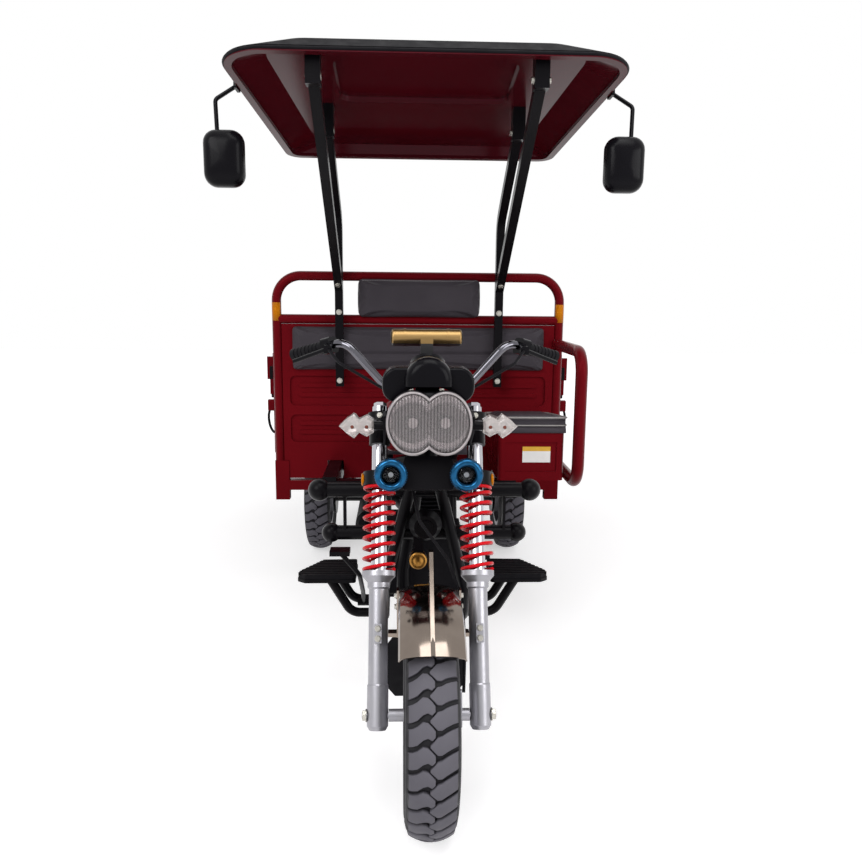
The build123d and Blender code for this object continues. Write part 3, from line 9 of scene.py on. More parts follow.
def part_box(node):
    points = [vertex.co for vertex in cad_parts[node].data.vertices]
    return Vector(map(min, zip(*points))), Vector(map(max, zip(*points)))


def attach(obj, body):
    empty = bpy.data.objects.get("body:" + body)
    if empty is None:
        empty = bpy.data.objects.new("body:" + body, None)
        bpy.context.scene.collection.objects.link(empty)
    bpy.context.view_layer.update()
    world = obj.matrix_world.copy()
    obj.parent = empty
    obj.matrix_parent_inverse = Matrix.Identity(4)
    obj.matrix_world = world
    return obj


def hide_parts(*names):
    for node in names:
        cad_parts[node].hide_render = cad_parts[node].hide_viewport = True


# Cargo tricycle: finishes, padding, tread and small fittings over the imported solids.
# Metres, +Z up, facing -Y; +X is the rider's left. Setbacks run back from the front axle.
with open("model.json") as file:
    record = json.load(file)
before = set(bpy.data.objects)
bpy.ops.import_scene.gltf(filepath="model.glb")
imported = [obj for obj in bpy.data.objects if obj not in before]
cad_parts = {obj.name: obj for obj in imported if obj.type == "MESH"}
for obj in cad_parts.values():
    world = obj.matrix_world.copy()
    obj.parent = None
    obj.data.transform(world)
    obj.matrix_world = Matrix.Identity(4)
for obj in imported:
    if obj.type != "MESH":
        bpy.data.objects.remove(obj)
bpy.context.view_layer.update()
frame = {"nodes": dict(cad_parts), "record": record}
nodes = frame["nodes"]
scene = bpy.context.scene
scene.view_settings.view_transform = "Standard"

MM = 0.001
TYRE_RADIUS = 275
TREAD_HALF = 52
FORK_RAKE = math.radians(24)
FORK_OFFSET = 45
ROOF_TILT = math.radians(8.1)
front_low, front_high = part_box("front_tyre")
AXLE_Y = (front_low.y + front_high.y) / 2
LEGS = ((-125, -45), (125, -45))
SIDES = ((-1, "right"), (1, "left"))
# Places in mm: setback and height of the canopy's front edge, and others across or up.
ROOF_SETBACK, ROOF_Z = 405, 1893
LAMP_X, LAMP_Z = 41, 966
INDICATOR_Z = 952
POST_X = 305
MIRROR_X, MIRROR_Z = 567, 1650


def at(x, setback, z):
    """A point in metres from millimetres: across, behind the front axle, up."""
    return Vector((x * MM, AXLE_Y + setback * MM, z * MM))


def along_fork(x, y, z):
    """A point in the steering axis's own frame, z up the axis and y to the rear."""
    s, c = math.sin(FORK_RAKE), math.cos(FORK_RAKE)
    foot = at(0, FORK_OFFSET * c, TYRE_RADIUS - FORK_OFFSET * s)
    return foot + Vector((x, y * c + z * s, z * c - y * s)) * MM


FORK_UP = Vector((0, math.sin(FORK_RAKE), math.cos(FORK_RAKE)))
FORK_AHEAD = Vector((0, -math.cos(FORK_RAKE), math.sin(FORK_RAKE)))


def on_roof(x, y, z):
    """A point in the canopy's tilted frame, y to the rear from its front edge."""
    s, c = math.sin(ROOF_TILT), math.cos(ROOF_TILT)
    return at(0, ROOF_SETBACK, ROOF_Z) + Vector((x, y * c + z * s, z * c - y * s)) * MM


def tint(code, alpha=1.0):
    """An sRGB hex colour as linear values."""
    parts = [int(code[i:i + 2], 16) / 255 for i in (1, 3, 5)]
    return [p / 12.92 if p <= 0.04045 else ((p + 0.055) / 1.055) ** 2.4 for p in parts] + [alpha]


def add_node(tree, kind, inputs=None, **settings):
    """Add one node; inputs maps a socket's name or number to a value or to an output to link."""
    made = tree.nodes.new(kind)
    for name, value in settings.items():
        setattr(made, name, value)
    for key, value in (inputs or {}).items():
        if isinstance(value, bpy.types.NodeSocket):
            tree.links.new(value, made.inputs[key])
        else:
            made.inputs[key].default_value = value
    return made


def per_mm(size):
    """A texture scale whose features are this many millimetres across."""
    return 1 / (size * MM)


# Finishes
def finish(name, colour, shade, patch, roughness, spread, grain=None, depth=0.0, **shader):
    """A surface whose colour and gloss drift over patches, with a fine grain raised from noise."""
    made = bpy.data.materials.new(name)
    made.use_nodes = True
    tree = made.node_tree
    bsdf = tree.nodes["Principled BSDF"]
    for socket, value in shader.items():
        bsdf.inputs[socket.replace("_", " ")].default_value = value
    place = add_node(tree, "ShaderNodeTexCoord").outputs["Object"]
    drift = add_node(tree, "ShaderNodeTexNoise", {"Vector": place, "Scale": per_mm(patch), "Detail": 4.0})
    blend = add_node(
        tree, "ShaderNodeMix", {0: drift.outputs[0], 6: tint(colour), 7: tint(shade)}, data_type="RGBA"
    )
    tree.links.new(blend.outputs[2], bsdf.inputs["Base Color"])
    gloss = add_node(
        tree,
        "ShaderNodeMapRange",
        {"Value": drift.outputs[0], "From Min": 0.3, "From Max": 0.7,
         "To Min": roughness - spread, "To Max": roughness + spread},
    )
    tree.links.new(gloss.outputs[0], bsdf.inputs["Roughness"])
    if grain:
        fine = add_node(tree, "ShaderNodeTexNoise", {"Vector": place, "Scale": per_mm(grain), "Detail": 3.0})
        bump = add_node(
            tree, "ShaderNodeBump", {"Height": fine.outputs[0], "Distance": depth * MM, "Strength": 0.6}
        )
        tree.links.new(bump.outputs[0], bsdf.inputs["Normal"])
    return made


# Dark finishes keep little of the white surround when seen square on.
DULL = {"Specular_IOR_Level": 0.3, "Specular_Tint": tint("#777777")}
# Stoved red enamel over pressed steel: even, glossy, with a faint orange peel.
red_enamel = finish(
    "red_stoved_enamel", "#640e15", "#560b12", 160, 0.26, 0.04, 9, 0.05,
    Specular_IOR_Level=0.35, Specular_Tint=tint("#8c2028")
)
# Black powder coat: satin and finely pebbled from the melted powder.
black_coat = finish("black_powder_coat", "#0e0c0f", "#08070a", 90, 0.34, 0.06, 1.6, 0.06, **DULL)
# Spring enamel: bright red dip paint on wound steel wire.
spring_enamel = finish(
    "red_spring_enamel", "#c8141f", "#b01019", 40, 0.24, 0.05, 6, 0.04, Specular_Tint=tint("#c05050")
)
# Bright chrome plate: a mirror with a very slight polishing haze.
chrome_plate = finish("chrome_plate", "#c2c1c6", "#b0afb6", 60, 0.08, 0.03, Metallic=1.0)
# Chrome of the handlebar over bent tube, its colour darkened as a painted reflection of dark surroundings.
dark_reflection_chrome = finish("chrome_with_painted_dark_reflection", "#6d6c72", "#58575d", 60, 0.1, 0.03, Metallic=1.0)
# Polished stainless sheet: mirror with rolling haze; its darker warm-brown colour is a painted reflection of
# brownish surroundings.
stainless_sheet = finish("polished_stainless", "#8d8279", "#766b63", 45, 0.12, 0.05, Metallic=1.0)
# Silver-lacquered cast aluminium: soft sheen with sand-cast grain.
cast_alloy = finish("silver_cast_alloy", "#a4a3a7", "#94939a", 30, 0.36, 0.06, 1.8, 0.05, Metallic=0.75)
# Silver wheel lacquer on pressed steel.
wheel_lacquer = finish("silver_wheel_lacquer", "#9c9ba0", "#8b8a90", 70, 0.38, 0.06, 2.2, 0.04, Metallic=0.6)
# Tyre rubber: matt carbon-black compound, black in the moulded grooves and on the sidewalls; the block tops
# are painted a lighter grey as a painted sheen.
tyre_compound = finish(
    "tyre_compound", "#1b1a1e", "#141317", 36, 0.66, 0.08, 1.2, 0.10, Specular_IOR_Level=0.25
)
tyre_tree = tyre_compound.node_tree
tyre_paint = tyre_tree.nodes["Principled BSDF"].inputs["Base Color"]
# Painted sheen: a lighter grey laid on the block tops, where the light catches the tread.
painted_sheen = add_node(tyre_tree, "ShaderNodeAttribute", attribute_name="painted_sheen")
tread_mix = add_node(
    tyre_tree, "ShaderNodeMix",
    {0: painted_sheen.outputs["Fac"], 6: tyre_paint.links[0].from_socket, 7: tint("#55535a")}, data_type="RGBA"
)
tyre_tree.links.new(tread_mix.outputs[2], tyre_paint)
# Moulded black rubber: matt grips, pads and flaps.
moulded_rubber = finish("moulded_rubber", "#141316", "#0d0c0f", 28, 0.62, 0.08, 1.4, 0.08, **DULL)
# Vacuum-formed roof sheet: dark red plastic.
roof_sheet = finish(
    "gloss_roof_sheet", "#4a0a14", "#3a0810", 200, 0.4, 0.04, 40, 0.15,
    Specular_IOR_Level=0.25, Specular_Tint=tint("#a89098")
)
# It was formed over a polished mould: glossy below, satin above.
roof_tree = roof_sheet.node_tree
facing = add_node(roof_tree, "ShaderNodeTexCoord").outputs["Normal"]
upward = add_node(roof_tree, "ShaderNodeSeparateXYZ", {0: facing}).outputs["Z"]
polish = add_node(
    roof_tree, "ShaderNodeMapRange",
    {"Value": upward, "From Min": -0.2, "From Max": 0.2, "To Min": 0.17, "To Max": 0.42}
)
roof_tree.links.new(polish.outputs[0], roof_tree.nodes["Principled BSDF"].inputs["Roughness"])
# Black crankcase paint on cast iron, dulled by heat.
engine_paint = finish(
    "engine_casting_paint", "#1f1e21", "#151417", 34, 0.50, 0.08, 2.4, 0.12, Metallic=0.2, **DULL
)
# Gloss black moulded ABS.
black_abs = finish("moulded_black_abs", "#0f0e12", "#09080b", 120, 0.22, 0.04, 2.0, 0.02, **DULL)
# Zinc-plated fasteners: pale, slightly yellow bright steel.
zinc_plate = finish("zinc_plated_steel", "#bdbab2", "#a5a29b", 8, 0.28, 0.07, Metallic=1.0)
# Gold anodised aluminium, turned along its length.
gold_anodised = finish("gold_anodised", "#bd9b66", "#a88755", 24, 0.24, 0.05, Metallic=1.0)
# Brass horn trumpet, lightly tarnished.
horn_brass = finish("horn_brass", "#b0813f", "#8a6230", 14, 0.34, 0.08, Metallic=1.0)
# Amber acrylic reflector moulding.
amber_acrylic = finish(
    "amber_acrylic", "#c27410", "#a8600b", 6, 0.2, 0.04, 3.0, 0.2, Specular_Tint=tint("#b08030")
)
# Red acrylic lamp lens.
red_acrylic = finish("red_acrylic", "#b31420", "#90101a", 10, 0.14, 0.04, 5.0, 0.20, Coat_Weight=0.6)
# Vinyl piping cord, pale also as a painted highlight along the cushion's edge.
piping_pale_as_highlight = finish("vinyl_piping_and_painted_highlight", "#8e8a88", "#7c7977", 12, 0.46, 0.06, 1.2, 0.05)
# Sewing thread, twisted polyester.
grey_thread = finish("polyester_thread", "#8b878a", "#757174", 3, 0.70, 0.06, 0.8, 0.08)
# Label film, blank white below a yellow band; the headlamp's frosted bulbs match the white.
white_film = finish("white_label_film", "#dcdad8", "#d0cecc", 30, 0.34, 0.04)
yellow_film = finish("yellow_label_film", "#cf9f1e", "#bd8f18", 30, 0.34, 0.04)
# Silvered mirror glass.
mirror_glass = finish("silvered_mirror", "#e6e8ea", "#dddfe2", 80, 0.04, 0.02, Metallic=1.0)
# Aluminised reflector bowls.
aluminised_bowl = finish("aluminised_bowl", "#b5b0b1", "#9d9899", 22, 0.10, 0.03, Metallic=1.0)
# Dial card, matt black, and its pale print; the lamps' collars and chips look the same.
dial_card = finish("matt_dial_card", "#17161a", "#121115", 20, 0.60, 0.05)
dial_print = finish("pale_dial_print", "#d9d6d0", "#cfccc6", 10, 0.55, 0.05)


def leatherette(name, colour, shade):
    """Embossed PVC leathercloth: pebble cells split by fine creases, satin top coat."""
    made = finish(name, colour, shade, 120, 0.46, 0.05, **DULL)
    tree = made.node_tree
    bsdf = tree.nodes["Principled BSDF"]
    place = add_node(tree, "ShaderNodeTexCoord").outputs["Object"]
    # The real grain is about 1.5 mm; 3.5 mm is drawn so that it shows.
    cells = add_node(
        tree, "ShaderNodeTexVoronoi", {"Vector": place, "Scale": per_mm(3.5)}, feature="DISTANCE_TO_EDGE"
    )
    crease = add_node(
        tree, "ShaderNodeMapRange", {"Value": cells.outputs[0], "From Min": 0.0, "From Max": 0.16}
    )
    bump = add_node(
        tree, "ShaderNodeBump", {"Height": crease.outputs[0], "Distance": 0.3 * MM, "Strength": 0.5}
    )
    tree.links.new(bump.outputs[0], bsdf.inputs["Normal"])
    return made


grey_leatherette = leatherette("grey_leatherette", "#423e43", "#363237")


def clear_moulding(name, colour, roughness, ior=1.49):
    """Clear moulded polycarbonate: colourless, with slight flow marks in its gloss."""
    return finish(name, colour, colour, 18, roughness, roughness * 0.5, Transmission_Weight=1.0, IOR=ior)


lens_clear = clear_moulding("clear_lens_moulding", "#e6e1e1", 0.05)
# Bloomed projector glass of the spot lamps: its coating leaves little reflection.
smoked_glass = clear_moulding("smoked_lamp_glass", "#c0c4ca", 0.03, 1.18)


def fluted_moulding(name, crest, trough, pitch):
    """Clear moulding with pale and dark upright bands painted into its colour: the painted light and shade
    of its flutes.
    """
    made = finish(name, crest, trough, 18, 0.08, 0.03, Transmission_Weight=0.88, IOR=1.35)
    tree = made.node_tree
    place = add_node(tree, "ShaderNodeTexCoord").outputs["Object"]
    # At scale 1 a wave texture's band is pi / 10 wide.
    bands = add_node(tree, "ShaderNodeTexWave", {"Vector": place, "Scale": math.pi / 10 * per_mm(pitch)})
    # Painted light and shade: the bands mix the pale and the dark colour.
    blend = add_node(
        tree, "ShaderNodeMix", {0: bands.outputs[1], 6: tint(crest), 7: tint(trough)}, data_type="RGBA"
    )
    tree.links.new(blend.outputs[2], tree.nodes["Principled BSDF"].inputs["Base Color"])
    return made


FLUTE_PITCH = 8
# Pale and dark bands of painted light and shade, one flute pitch apart.
fluted_clear = fluted_moulding("fluted_lens_moulding", "#e0dadb", "#a29c9d", FLUTE_PITCH)
# Small bulbs of the indicators, dipped in brown lacquer.
tinted_bulb = finish("tinted_bulb_glass", "#6e4038", "#5a332c", 4, 0.3, 0.05, Specular_Tint=tint("#906050"))
# Frosted acrylic of the indicators: half clear, half pale.
frosted_acrylic = finish(
    "frosted_acrylic", "#e6e0dd", "#d6cecb", 12, 0.16, 0.05, 4.0, 0.2, Transmission_Weight=0.6, IOR=1.49
)


def two_tone(name, ahead, behind, limit, axis="Y"):
    """One part in two finishes, split at a level: (colour, shade, metallic, roughness) before and after."""
    made = bpy.data.materials.new(name)
    made.use_nodes = True
    tree = made.node_tree
    bsdf = tree.nodes["Principled BSDF"]
    place = add_node(tree, "ShaderNodeTexCoord").outputs["Object"]
    level = add_node(tree, "ShaderNodeSeparateXYZ", {0: place}).outputs[axis]
    back = add_node(tree, "ShaderNodeMath", {0: level, 1: limit}, operation="GREATER_THAN").outputs[0]
    haze = add_node(tree, "ShaderNodeTexNoise", {"Vector": place, "Scale": per_mm(20), "Detail": 3.0})
    front = add_node(
        tree, "ShaderNodeMix", {0: haze.outputs[0], 6: tint(ahead[0]), 7: tint(ahead[1])}, data_type="RGBA"
    ).outputs[2]
    colour = add_node(tree, "ShaderNodeMix", {0: back, 6: front, 7: tint(behind[0])}, data_type="RGBA")
    tree.links.new(colour.outputs[2], bsdf.inputs["Base Color"])
    for socket, index in (("Metallic", 2), ("Roughness", 3)):
        share = add_node(
            tree, "ShaderNodeMapRange", {"Value": back, "To Min": ahead[index], "To Max": behind[index]}
        )
        tree.links.new(share.outputs[0], bsdf.inputs[socket])
    return made


# Spot lamps: blue anodised bezel ring ahead of a black moulded can.
spot_shell = two_tone(
    "blue_ring_black_can", ("#174f75", "#123c58", 0.8, 0.2), ("#121116", "#121116", 0.0, 0.4),
    at(0, 165, 0).y
)
# Speaker bar: gold anodised tube above a black post.
speaker_tube = two_tone(
    "gold_tube_black_post", ("#0e0c0f", "#08070a", 0.0, 0.4), ("#8f744b", "#8f744b", 1.0, 0.36), 1.149, "Z"
)
# Headlamp shell: clear grey rim ahead of a black moulded back.
lamp_shell = two_tone(
    "grey_rim_black_shell", ("#a09a9b", "#878182", 0.3, 0.22), ("#0f0e12", "#09080b", 0.0, 0.3),
    at(0, 158, 0).y
)
# Blue anodised bezels of the spot lamps, uneven as dyed metal is.
blue_anodised = finish("blue_anodised", "#175a85", "#0a2c44", 12, 0.18, 0.05, Metallic=0.85)
SLOT_FINISH = {
    "red_paint": red_enamel, "black_paint": black_coat, "spring_red": spring_enamel, "chrome": chrome_plate,
    "stainless": stainless_sheet, "alloy": cast_alloy, "wheel_paint": wheel_lacquer,
    "tyre_rubber": tyre_compound, "black_rubber": moulded_rubber, "grey_vinyl": grey_leatherette,
    "roof_plastic": roof_sheet, "clear_glass": lens_clear, "red_lens": red_acrylic,
    "blue_plastic": spot_shell, "brass_gold": gold_anodised, "engine_iron": engine_paint,
    "black_plastic": black_abs,
}
for part in frame["record"]["subparts"]:
    solid = nodes[part["node"]]
    solid.data.materials.clear()
    solid.data.materials.append(SLOT_FINISH[part["material_slot"]])
nodes["headlamp_reflector"].data.materials[0] = aluminised_bowl
nodes["speaker_bar"].data.materials[0] = speaker_tube
nodes["handlebar"].data.materials[0] = dark_reflection_chrome
nodes["headlamp_shell"].data.materials[0] = lamp_shell


# Making pieces
def piece(name, verts, faces, material, smooth=True):
    """A mesh object at the origin, with doubles merged and faces turned outwards."""
    mesh = bpy.data.meshes.new(name)
    mesh.from_pydata([tuple(v) for v in verts], [], faces)
    work = bmesh.new()
    work.from_mesh(mesh)
    bmesh.ops.remove_doubles(work, verts=work.verts, dist=1e-6)
    bmesh.ops.recalc_face_normals(work, faces=work.faces)
    work.to_mesh(mesh)
    work.free()
    for face in mesh.polygons:
        face.use_smooth = smooth
    obj = bpy.data.objects.new(name, mesh)
    scene.collection.objects.link(obj)
    if material:
        mesh.materials.append(material)
    return obj


def fit(obj, body, slot, *replaced):
    """Seat a finished piece on its body and hide the solids it stands for; slot is not used."""
    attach(obj, body)
    if replaced:
        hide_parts(*replaced)
    return obj


def apply_modifiers(obj):
    """Turn an object's live modifiers into a plain mesh."""
    mesh = bpy.data.meshes.new_from_object(obj.evaluated_get(bpy.context.evaluated_depsgraph_get()))
    obj.modifiers.clear()
    obj.data = mesh
    return obj


def bevelled(obj, width, segments=2):
    """Round an object's sharp edges."""
    rounding = obj.modifiers.new("edges", "BEVEL")
    rounding.width = width * MM
    rounding.segments = segments
    rounding.limit_method = "ANGLE"
    rounding.angle_limit = math.radians(35)
    return apply_modifiers(obj)


def turned(profile, centre, axis, steps=64):
    """Vertices and faces of a profile of (along, radius) in mm spun about an axis."""
    spin = Vector(axis).normalized()
    side = spin.orthogonal().normalized()
    verts, faces = [], []
    rows = len(profile)
    for k in range(steps):
        ray = Matrix.Rotation(2 * math.pi * k / steps, 3, spin) @ side
        verts += [centre + (spin * a + ray * r) * MM for a, r in profile]
    for k in range(steps):
        a, b = k * rows, (k + 1) % steps * rows
        faces += [(a + i, a + i + 1, b + i + 1, b + i) for i in range(rows - 1)]
    return verts, faces


def joined(parts):
    """One list of vertices and faces from several."""
    verts, faces = [], []
    for v, f in parts:
        base = len(verts)
        verts += v
        faces += [tuple(i + base for i in face) for face in f]
    return verts, faces


def lofted(loops):
    """Vertices and faces of a closed skin through loops of equal count, with flat ends."""
    n, last = len(loops[0]), len(loops) - 1
    faces = [(k * n + j, k * n + (j + 1) % n, (k + 1) * n + (j + 1) % n, (k + 1) * n + j)
             for k in range(last) for j in range(n)]
    faces += [tuple(range(n)), tuple(range(last * n, (last + 1) * n))]
    return [p for loop in loops for p in loop], faces


def slab(outline, out, thick):
    """A plate from a closed loop of points, raised along out by thick mm."""
    count = len(outline)
    lift = Vector(out) * thick * MM
    verts = list(outline) + [p + lift for p in outline]
    faces = [tuple(range(count)), tuple(range(count, 2 * count))]
    faces += [(i, (i + 1) % count, (i + 1) % count + count, i + count) for i in range(count)]
    return verts, faces


def rounded_loop(width, height, corner, steps=6):
    """Points round a rectangle with rounded corners, in mm about its middle."""
    loop = []
    for sx, sy, start in ((1, 1, 0), (-1, 1, 90), (-1, -1, 180), (1, -1, 270)):
        for k in range(steps + 1):
            a = math.radians(start + 90 * k / steps)
            loop.append((sx * (width / 2 - corner) + corner * math.cos(a),
                         sy * (height / 2 - corner) + corner * math.sin(a)))
    return loop


def beading(name, points, radius, material, closed=True):
    """A round bead laid along points."""
    line = bpy.data.curves.new(name, "CURVE")
    line.dimensions = "3D"
    line.bevel_depth = radius * MM
    line.bevel_resolution = 3
    line.use_fill_caps = not closed
    run = line.splines.new("POLY")
    run.points.add(len(points) - 1)
    for spot, place in zip(run.points, points):
        spot.co = (*place, 1)
    run.use_cyclic_u = closed
    holder = bpy.data.objects.new(name + "_line", line)
    scene.collection.objects.link(holder)
    mesh = bpy.data.meshes.new_from_object(holder.evaluated_get(bpy.context.evaluated_depsgraph_get()))
    bpy.data.objects.remove(holder)
    for face in mesh.polygons:
        face.use_smooth = True
    mesh.materials.clear()
    mesh.materials.append(material)
    obj = bpy.data.objects.new(name, mesh)
    scene.collection.objects.link(obj)
    return obj


# Geometry Nodes trees
def new_tree(name, sockets):
    """An empty tree with a Geometry in and out and named inputs for its sizes."""
    tree = bpy.data.node_groups.new(name, "GeometryNodeTree")
    tree.interface.new_socket("Geometry", in_out="INPUT", socket_type="NodeSocketGeometry")
    for label, kind in sockets:
        tree.interface.new_socket(label, in_out="INPUT", socket_type="NodeSocket" + kind)
    tree.interface.new_socket("Geometry", in_out="OUTPUT", socket_type="NodeSocketGeometry")
    return tree, add_node(tree, "NodeGroupInput").outputs


def end_tree(tree, geometry, material):
    """Close a tree with Realize Instances and Set Material."""
    real = add_node(tree, "GeometryNodeRealizeInstances", {0: geometry})
    coated = add_node(tree, "GeometryNodeSetMaterial", {"Geometry": real.outputs[0], "Material": material})
    add_node(tree, "NodeGroupOutput", {0: coated.outputs[0]})
    return tree


def grow(obj, tree, **sizes):
    """Run a tree on an object and keep the plain mesh."""
    modifier = obj.modifiers.new(tree.name, "NODES")
    modifier.node_group = tree
    keys = {item.name: item.identifier for item in tree.interface.items_tree if item.in_out == "INPUT"}
    for label, value in sizes.items():
        modifier[keys[label]] = value
    return apply_modifiers(obj)


# Repeats the object's own mesh round an axis through Centre.
ring_tree, ring_in = new_tree(
    "ring_of_pieces", (("Count", "Int"), ("Axis", "Vector"), ("Centre", "Vector"), ("Material", "Material"))
)
ring_points = add_node(ring_tree, "GeometryNodePoints", {"Count": ring_in["Count"]})
ring_step = add_node(ring_tree, "ShaderNodeMath", {0: 2 * math.pi, 1: ring_in["Count"]}, operation="DIVIDE")
ring_index = add_node(ring_tree, "GeometryNodeInputIndex")
ring_angle = add_node(
    ring_tree, "ShaderNodeMath", {0: ring_index.outputs[0], 1: ring_step.outputs[0]}, operation="MULTIPLY"
)
ring_turn = add_node(
    ring_tree, "FunctionNodeAxisAngleToRotation", {"Axis": ring_in["Axis"], "Angle": ring_angle.outputs[0]}
)
ring_set = add_node(
    ring_tree,
    "GeometryNodeInstanceOnPoints",
    {"Points": ring_points.outputs[0], "Instance": ring_in["Geometry"], "Rotation": ring_turn.outputs[0]},
)
ring_moved = add_node(
    ring_tree, "GeometryNodeTransform", {"Geometry": ring_set.outputs[0], "Translation": ring_in["Centre"]}
)
end_tree(ring_tree, ring_moved.outputs[0], ring_in["Material"])

# Puts a hexagon head on a washer at each vertex, facing along the vertex's "out" attribute.
WASHER_THICK = 3.2
bolt_tree, bolt_in = new_tree(
    "hex_bolts", (("Across", "Float"), ("Height", "Float"), ("Washer", "Float"), ("Material", "Material"))
)
bolt_out = add_node(bolt_tree, "GeometryNodeInputNamedAttribute", {"Name": "out"}, data_type="FLOAT_VECTOR")
bolt_turn = add_node(
    bolt_tree, "FunctionNodeAlignRotationToVector", {"Vector": bolt_out.outputs[0]}, axis="Z"
)
bolt_half = add_node(bolt_tree, "ShaderNodeMath", {0: bolt_in["Height"], 1: 0.5}, operation="MULTIPLY")
bolt_head = add_node(
    bolt_tree,
    "GeometryNodeMeshCylinder",
    {"Vertices": 6, "Radius": bolt_in["Across"], "Depth": bolt_in["Height"]},
    fill_type="NGON",
)
bolt_lift = add_node(bolt_tree, "ShaderNodeCombineXYZ", {"Z": bolt_half.outputs[0]})
bolt_raised = add_node(
    bolt_tree,
    "GeometryNodeTransform",
    {"Geometry": bolt_head.outputs[0], "Translation": bolt_lift.outputs[0]},
)
bolt_washer = add_node(
    bolt_tree,
    "GeometryNodeMeshCylinder",
    {"Vertices": 16, "Radius": bolt_in["Washer"], "Depth": WASHER_THICK * MM},
    fill_type="NGON",
)
bolt_shape = add_node(bolt_tree, "GeometryNodeJoinGeometry")
bolt_tree.links.new(bolt_raised.outputs[0], bolt_shape.inputs[0])
bolt_tree.links.new(bolt_washer.outputs[0], bolt_shape.inputs[0])
bolt_set = add_node(
    bolt_tree,
    "GeometryNodeInstanceOnPoints",
    {"Points": bolt_in["Geometry"], "Instance": bolt_shape.outputs[0], "Rotation": bolt_turn.outputs[0]},
)
end_tree(bolt_tree, bolt_set.outputs[0], bolt_in["Material"])

# Lays short thread stitches along the object's edges.
stitch_tree, stitch_in = new_tree(
    "stitch_row", (("Pitch", "Float"), ("Stitch", "Float"), ("Thread", "Float"), ("Material", "Material"))
)
stitch_line = add_node(stitch_tree, "GeometryNodeMeshToCurve", {0: stitch_in["Geometry"]})
stitch_spots = add_node(
    stitch_tree,
    "GeometryNodeResampleCurve",
    {"Curve": stitch_line.outputs[0], "Length": stitch_in["Pitch"]},
    mode="LENGTH",
)
stitch_way = add_node(stitch_tree, "GeometryNodeInputTangent")
stitch_turn = add_node(
    stitch_tree, "FunctionNodeAlignRotationToVector", {"Vector": stitch_way.outputs[0]}, axis="Z"
)
stitch_shape = add_node(
    stitch_tree,
    "GeometryNodeMeshCylinder",
    {"Vertices": 6, "Radius": stitch_in["Thread"], "Depth": stitch_in["Stitch"]},
    fill_type="NGON",
)
stitch_set = add_node(
    stitch_tree,
    "GeometryNodeInstanceOnPoints",
    {"Points": stitch_spots.outputs[0], "Instance": stitch_shape.outputs[0],
     "Rotation": stitch_turn.outputs[0]},
)
end_tree(stitch_tree, stitch_set.outputs[0], stitch_in["Material"])

# Raised lozenges over a sheet of tread plate, every other one turned.
plate_tree, plate_in = new_tree(
    "tread_plate",
    (("Width", "Float"), ("Length", "Float"), ("Across", "Int"), ("Along", "Int"), ("Lozenge", "Float"),
     ("Centre", "Vector"), ("Material", "Material")),
)
plate_grid = add_node(
    plate_tree,
    "GeometryNodeMeshGrid",
    {"Size X": plate_in["Width"], "Size Y": plate_in["Length"], "Vertices X": plate_in["Across"],
     "Vertices Y": plate_in["Along"]},
)
plate_index = add_node(plate_tree, "GeometryNodeInputIndex")
plate_parity = add_node(
    plate_tree, "ShaderNodeMath", {0: plate_index.outputs[0], 1: 2.0}, operation="MODULO"
)
# 40 and 130 degrees in turn.
plate_angle = add_node(
    plate_tree, "ShaderNodeMapRange", {"Value": plate_parity.outputs[0], "To Min": 0.7, "To Max": 2.27}
)
plate_turn = add_node(
    plate_tree, "FunctionNodeAxisAngleToRotation", {"Axis": (0, 0, 1), "Angle": plate_angle.outputs[0]}
)
plate_lozenge = add_node(
    plate_tree,
    "GeometryNodeMeshCone",
    {"Vertices": 8, "Radius Top": 4 * MM, "Radius Bottom": plate_in["Lozenge"], "Depth": 1.4 * MM},
    fill_type="NGON",
)
plate_long = add_node(
    plate_tree, "GeometryNodeTransform", {"Geometry": plate_lozenge.outputs[0], "Scale": (1.0, 0.36, 1.0)}
)
plate_set = add_node(
    plate_tree,
    "GeometryNodeInstanceOnPoints",
    {"Points": plate_grid.outputs[0], "Instance": plate_long.outputs[0], "Rotation": plate_turn.outputs[0]},
)
plate_moved = add_node(
    plate_tree,
    "GeometryNodeTransform",
    {"Geometry": plate_set.outputs[0], "Translation": plate_in["Centre"]},
)
end_tree(plate_tree, plate_moved.outputs[0], plate_in["Material"])


def bolts(name, body, spots, across=17, height=8, washer=12.5, material=zinc_plate, slot="alloy"):
    """Hexagon heads at (place, outward) pairs on one body."""
    mesh = bpy.data.meshes.new(name)
    mesh.from_pydata([tuple(p) for p, _ in spots], [], [])
    ways = mesh.attributes.new("out", "FLOAT_VECTOR", "POINT")
    for k, (_, out) in enumerate(spots):
        ways.data[k].vector = Vector(out).normalized()
    obj = bpy.data.objects.new(name, mesh)
    scene.collection.objects.link(obj)
    grow(
        obj, bolt_tree, Across=across / math.sqrt(3) * MM, Height=height * MM, Washer=washer * MM,
        Material=material
    )
    bevelled(obj, 0.8, 1)
    return fit(obj, body, slot)


# Tyres: a lathed carcass with two rows of zigzag blocks
PITCHES = 34


def crown(x):
    """Tread radius across the tyre, the arc through both shoulders and the middle."""
    rise = 16
    arc = (TREAD_HALF ** 2 + rise ** 2) / (2 * rise)
    return TYRE_RADIUS - arc + math.sqrt(arc * arc - x * x)


# Columns across the tread: place, then the block's lower and upper edge round the tyre, in mm.
LEFT_BLOCK = (
    (-52, -1, 36), (-44, 1, 38), (-34, 5, 43), (-22, 16, 53), (-12, 20, 51), (-3, 15, 43), (4, 22, 34)
)
RIGHT_BLOCK = (
    (-7, 1, 5), (1, -7, 13), (9, -15, 22), (18, -15, 24), (28, -9, 30), (40, -4, 35), (52, 0, 39)
)
GROOVE = 10


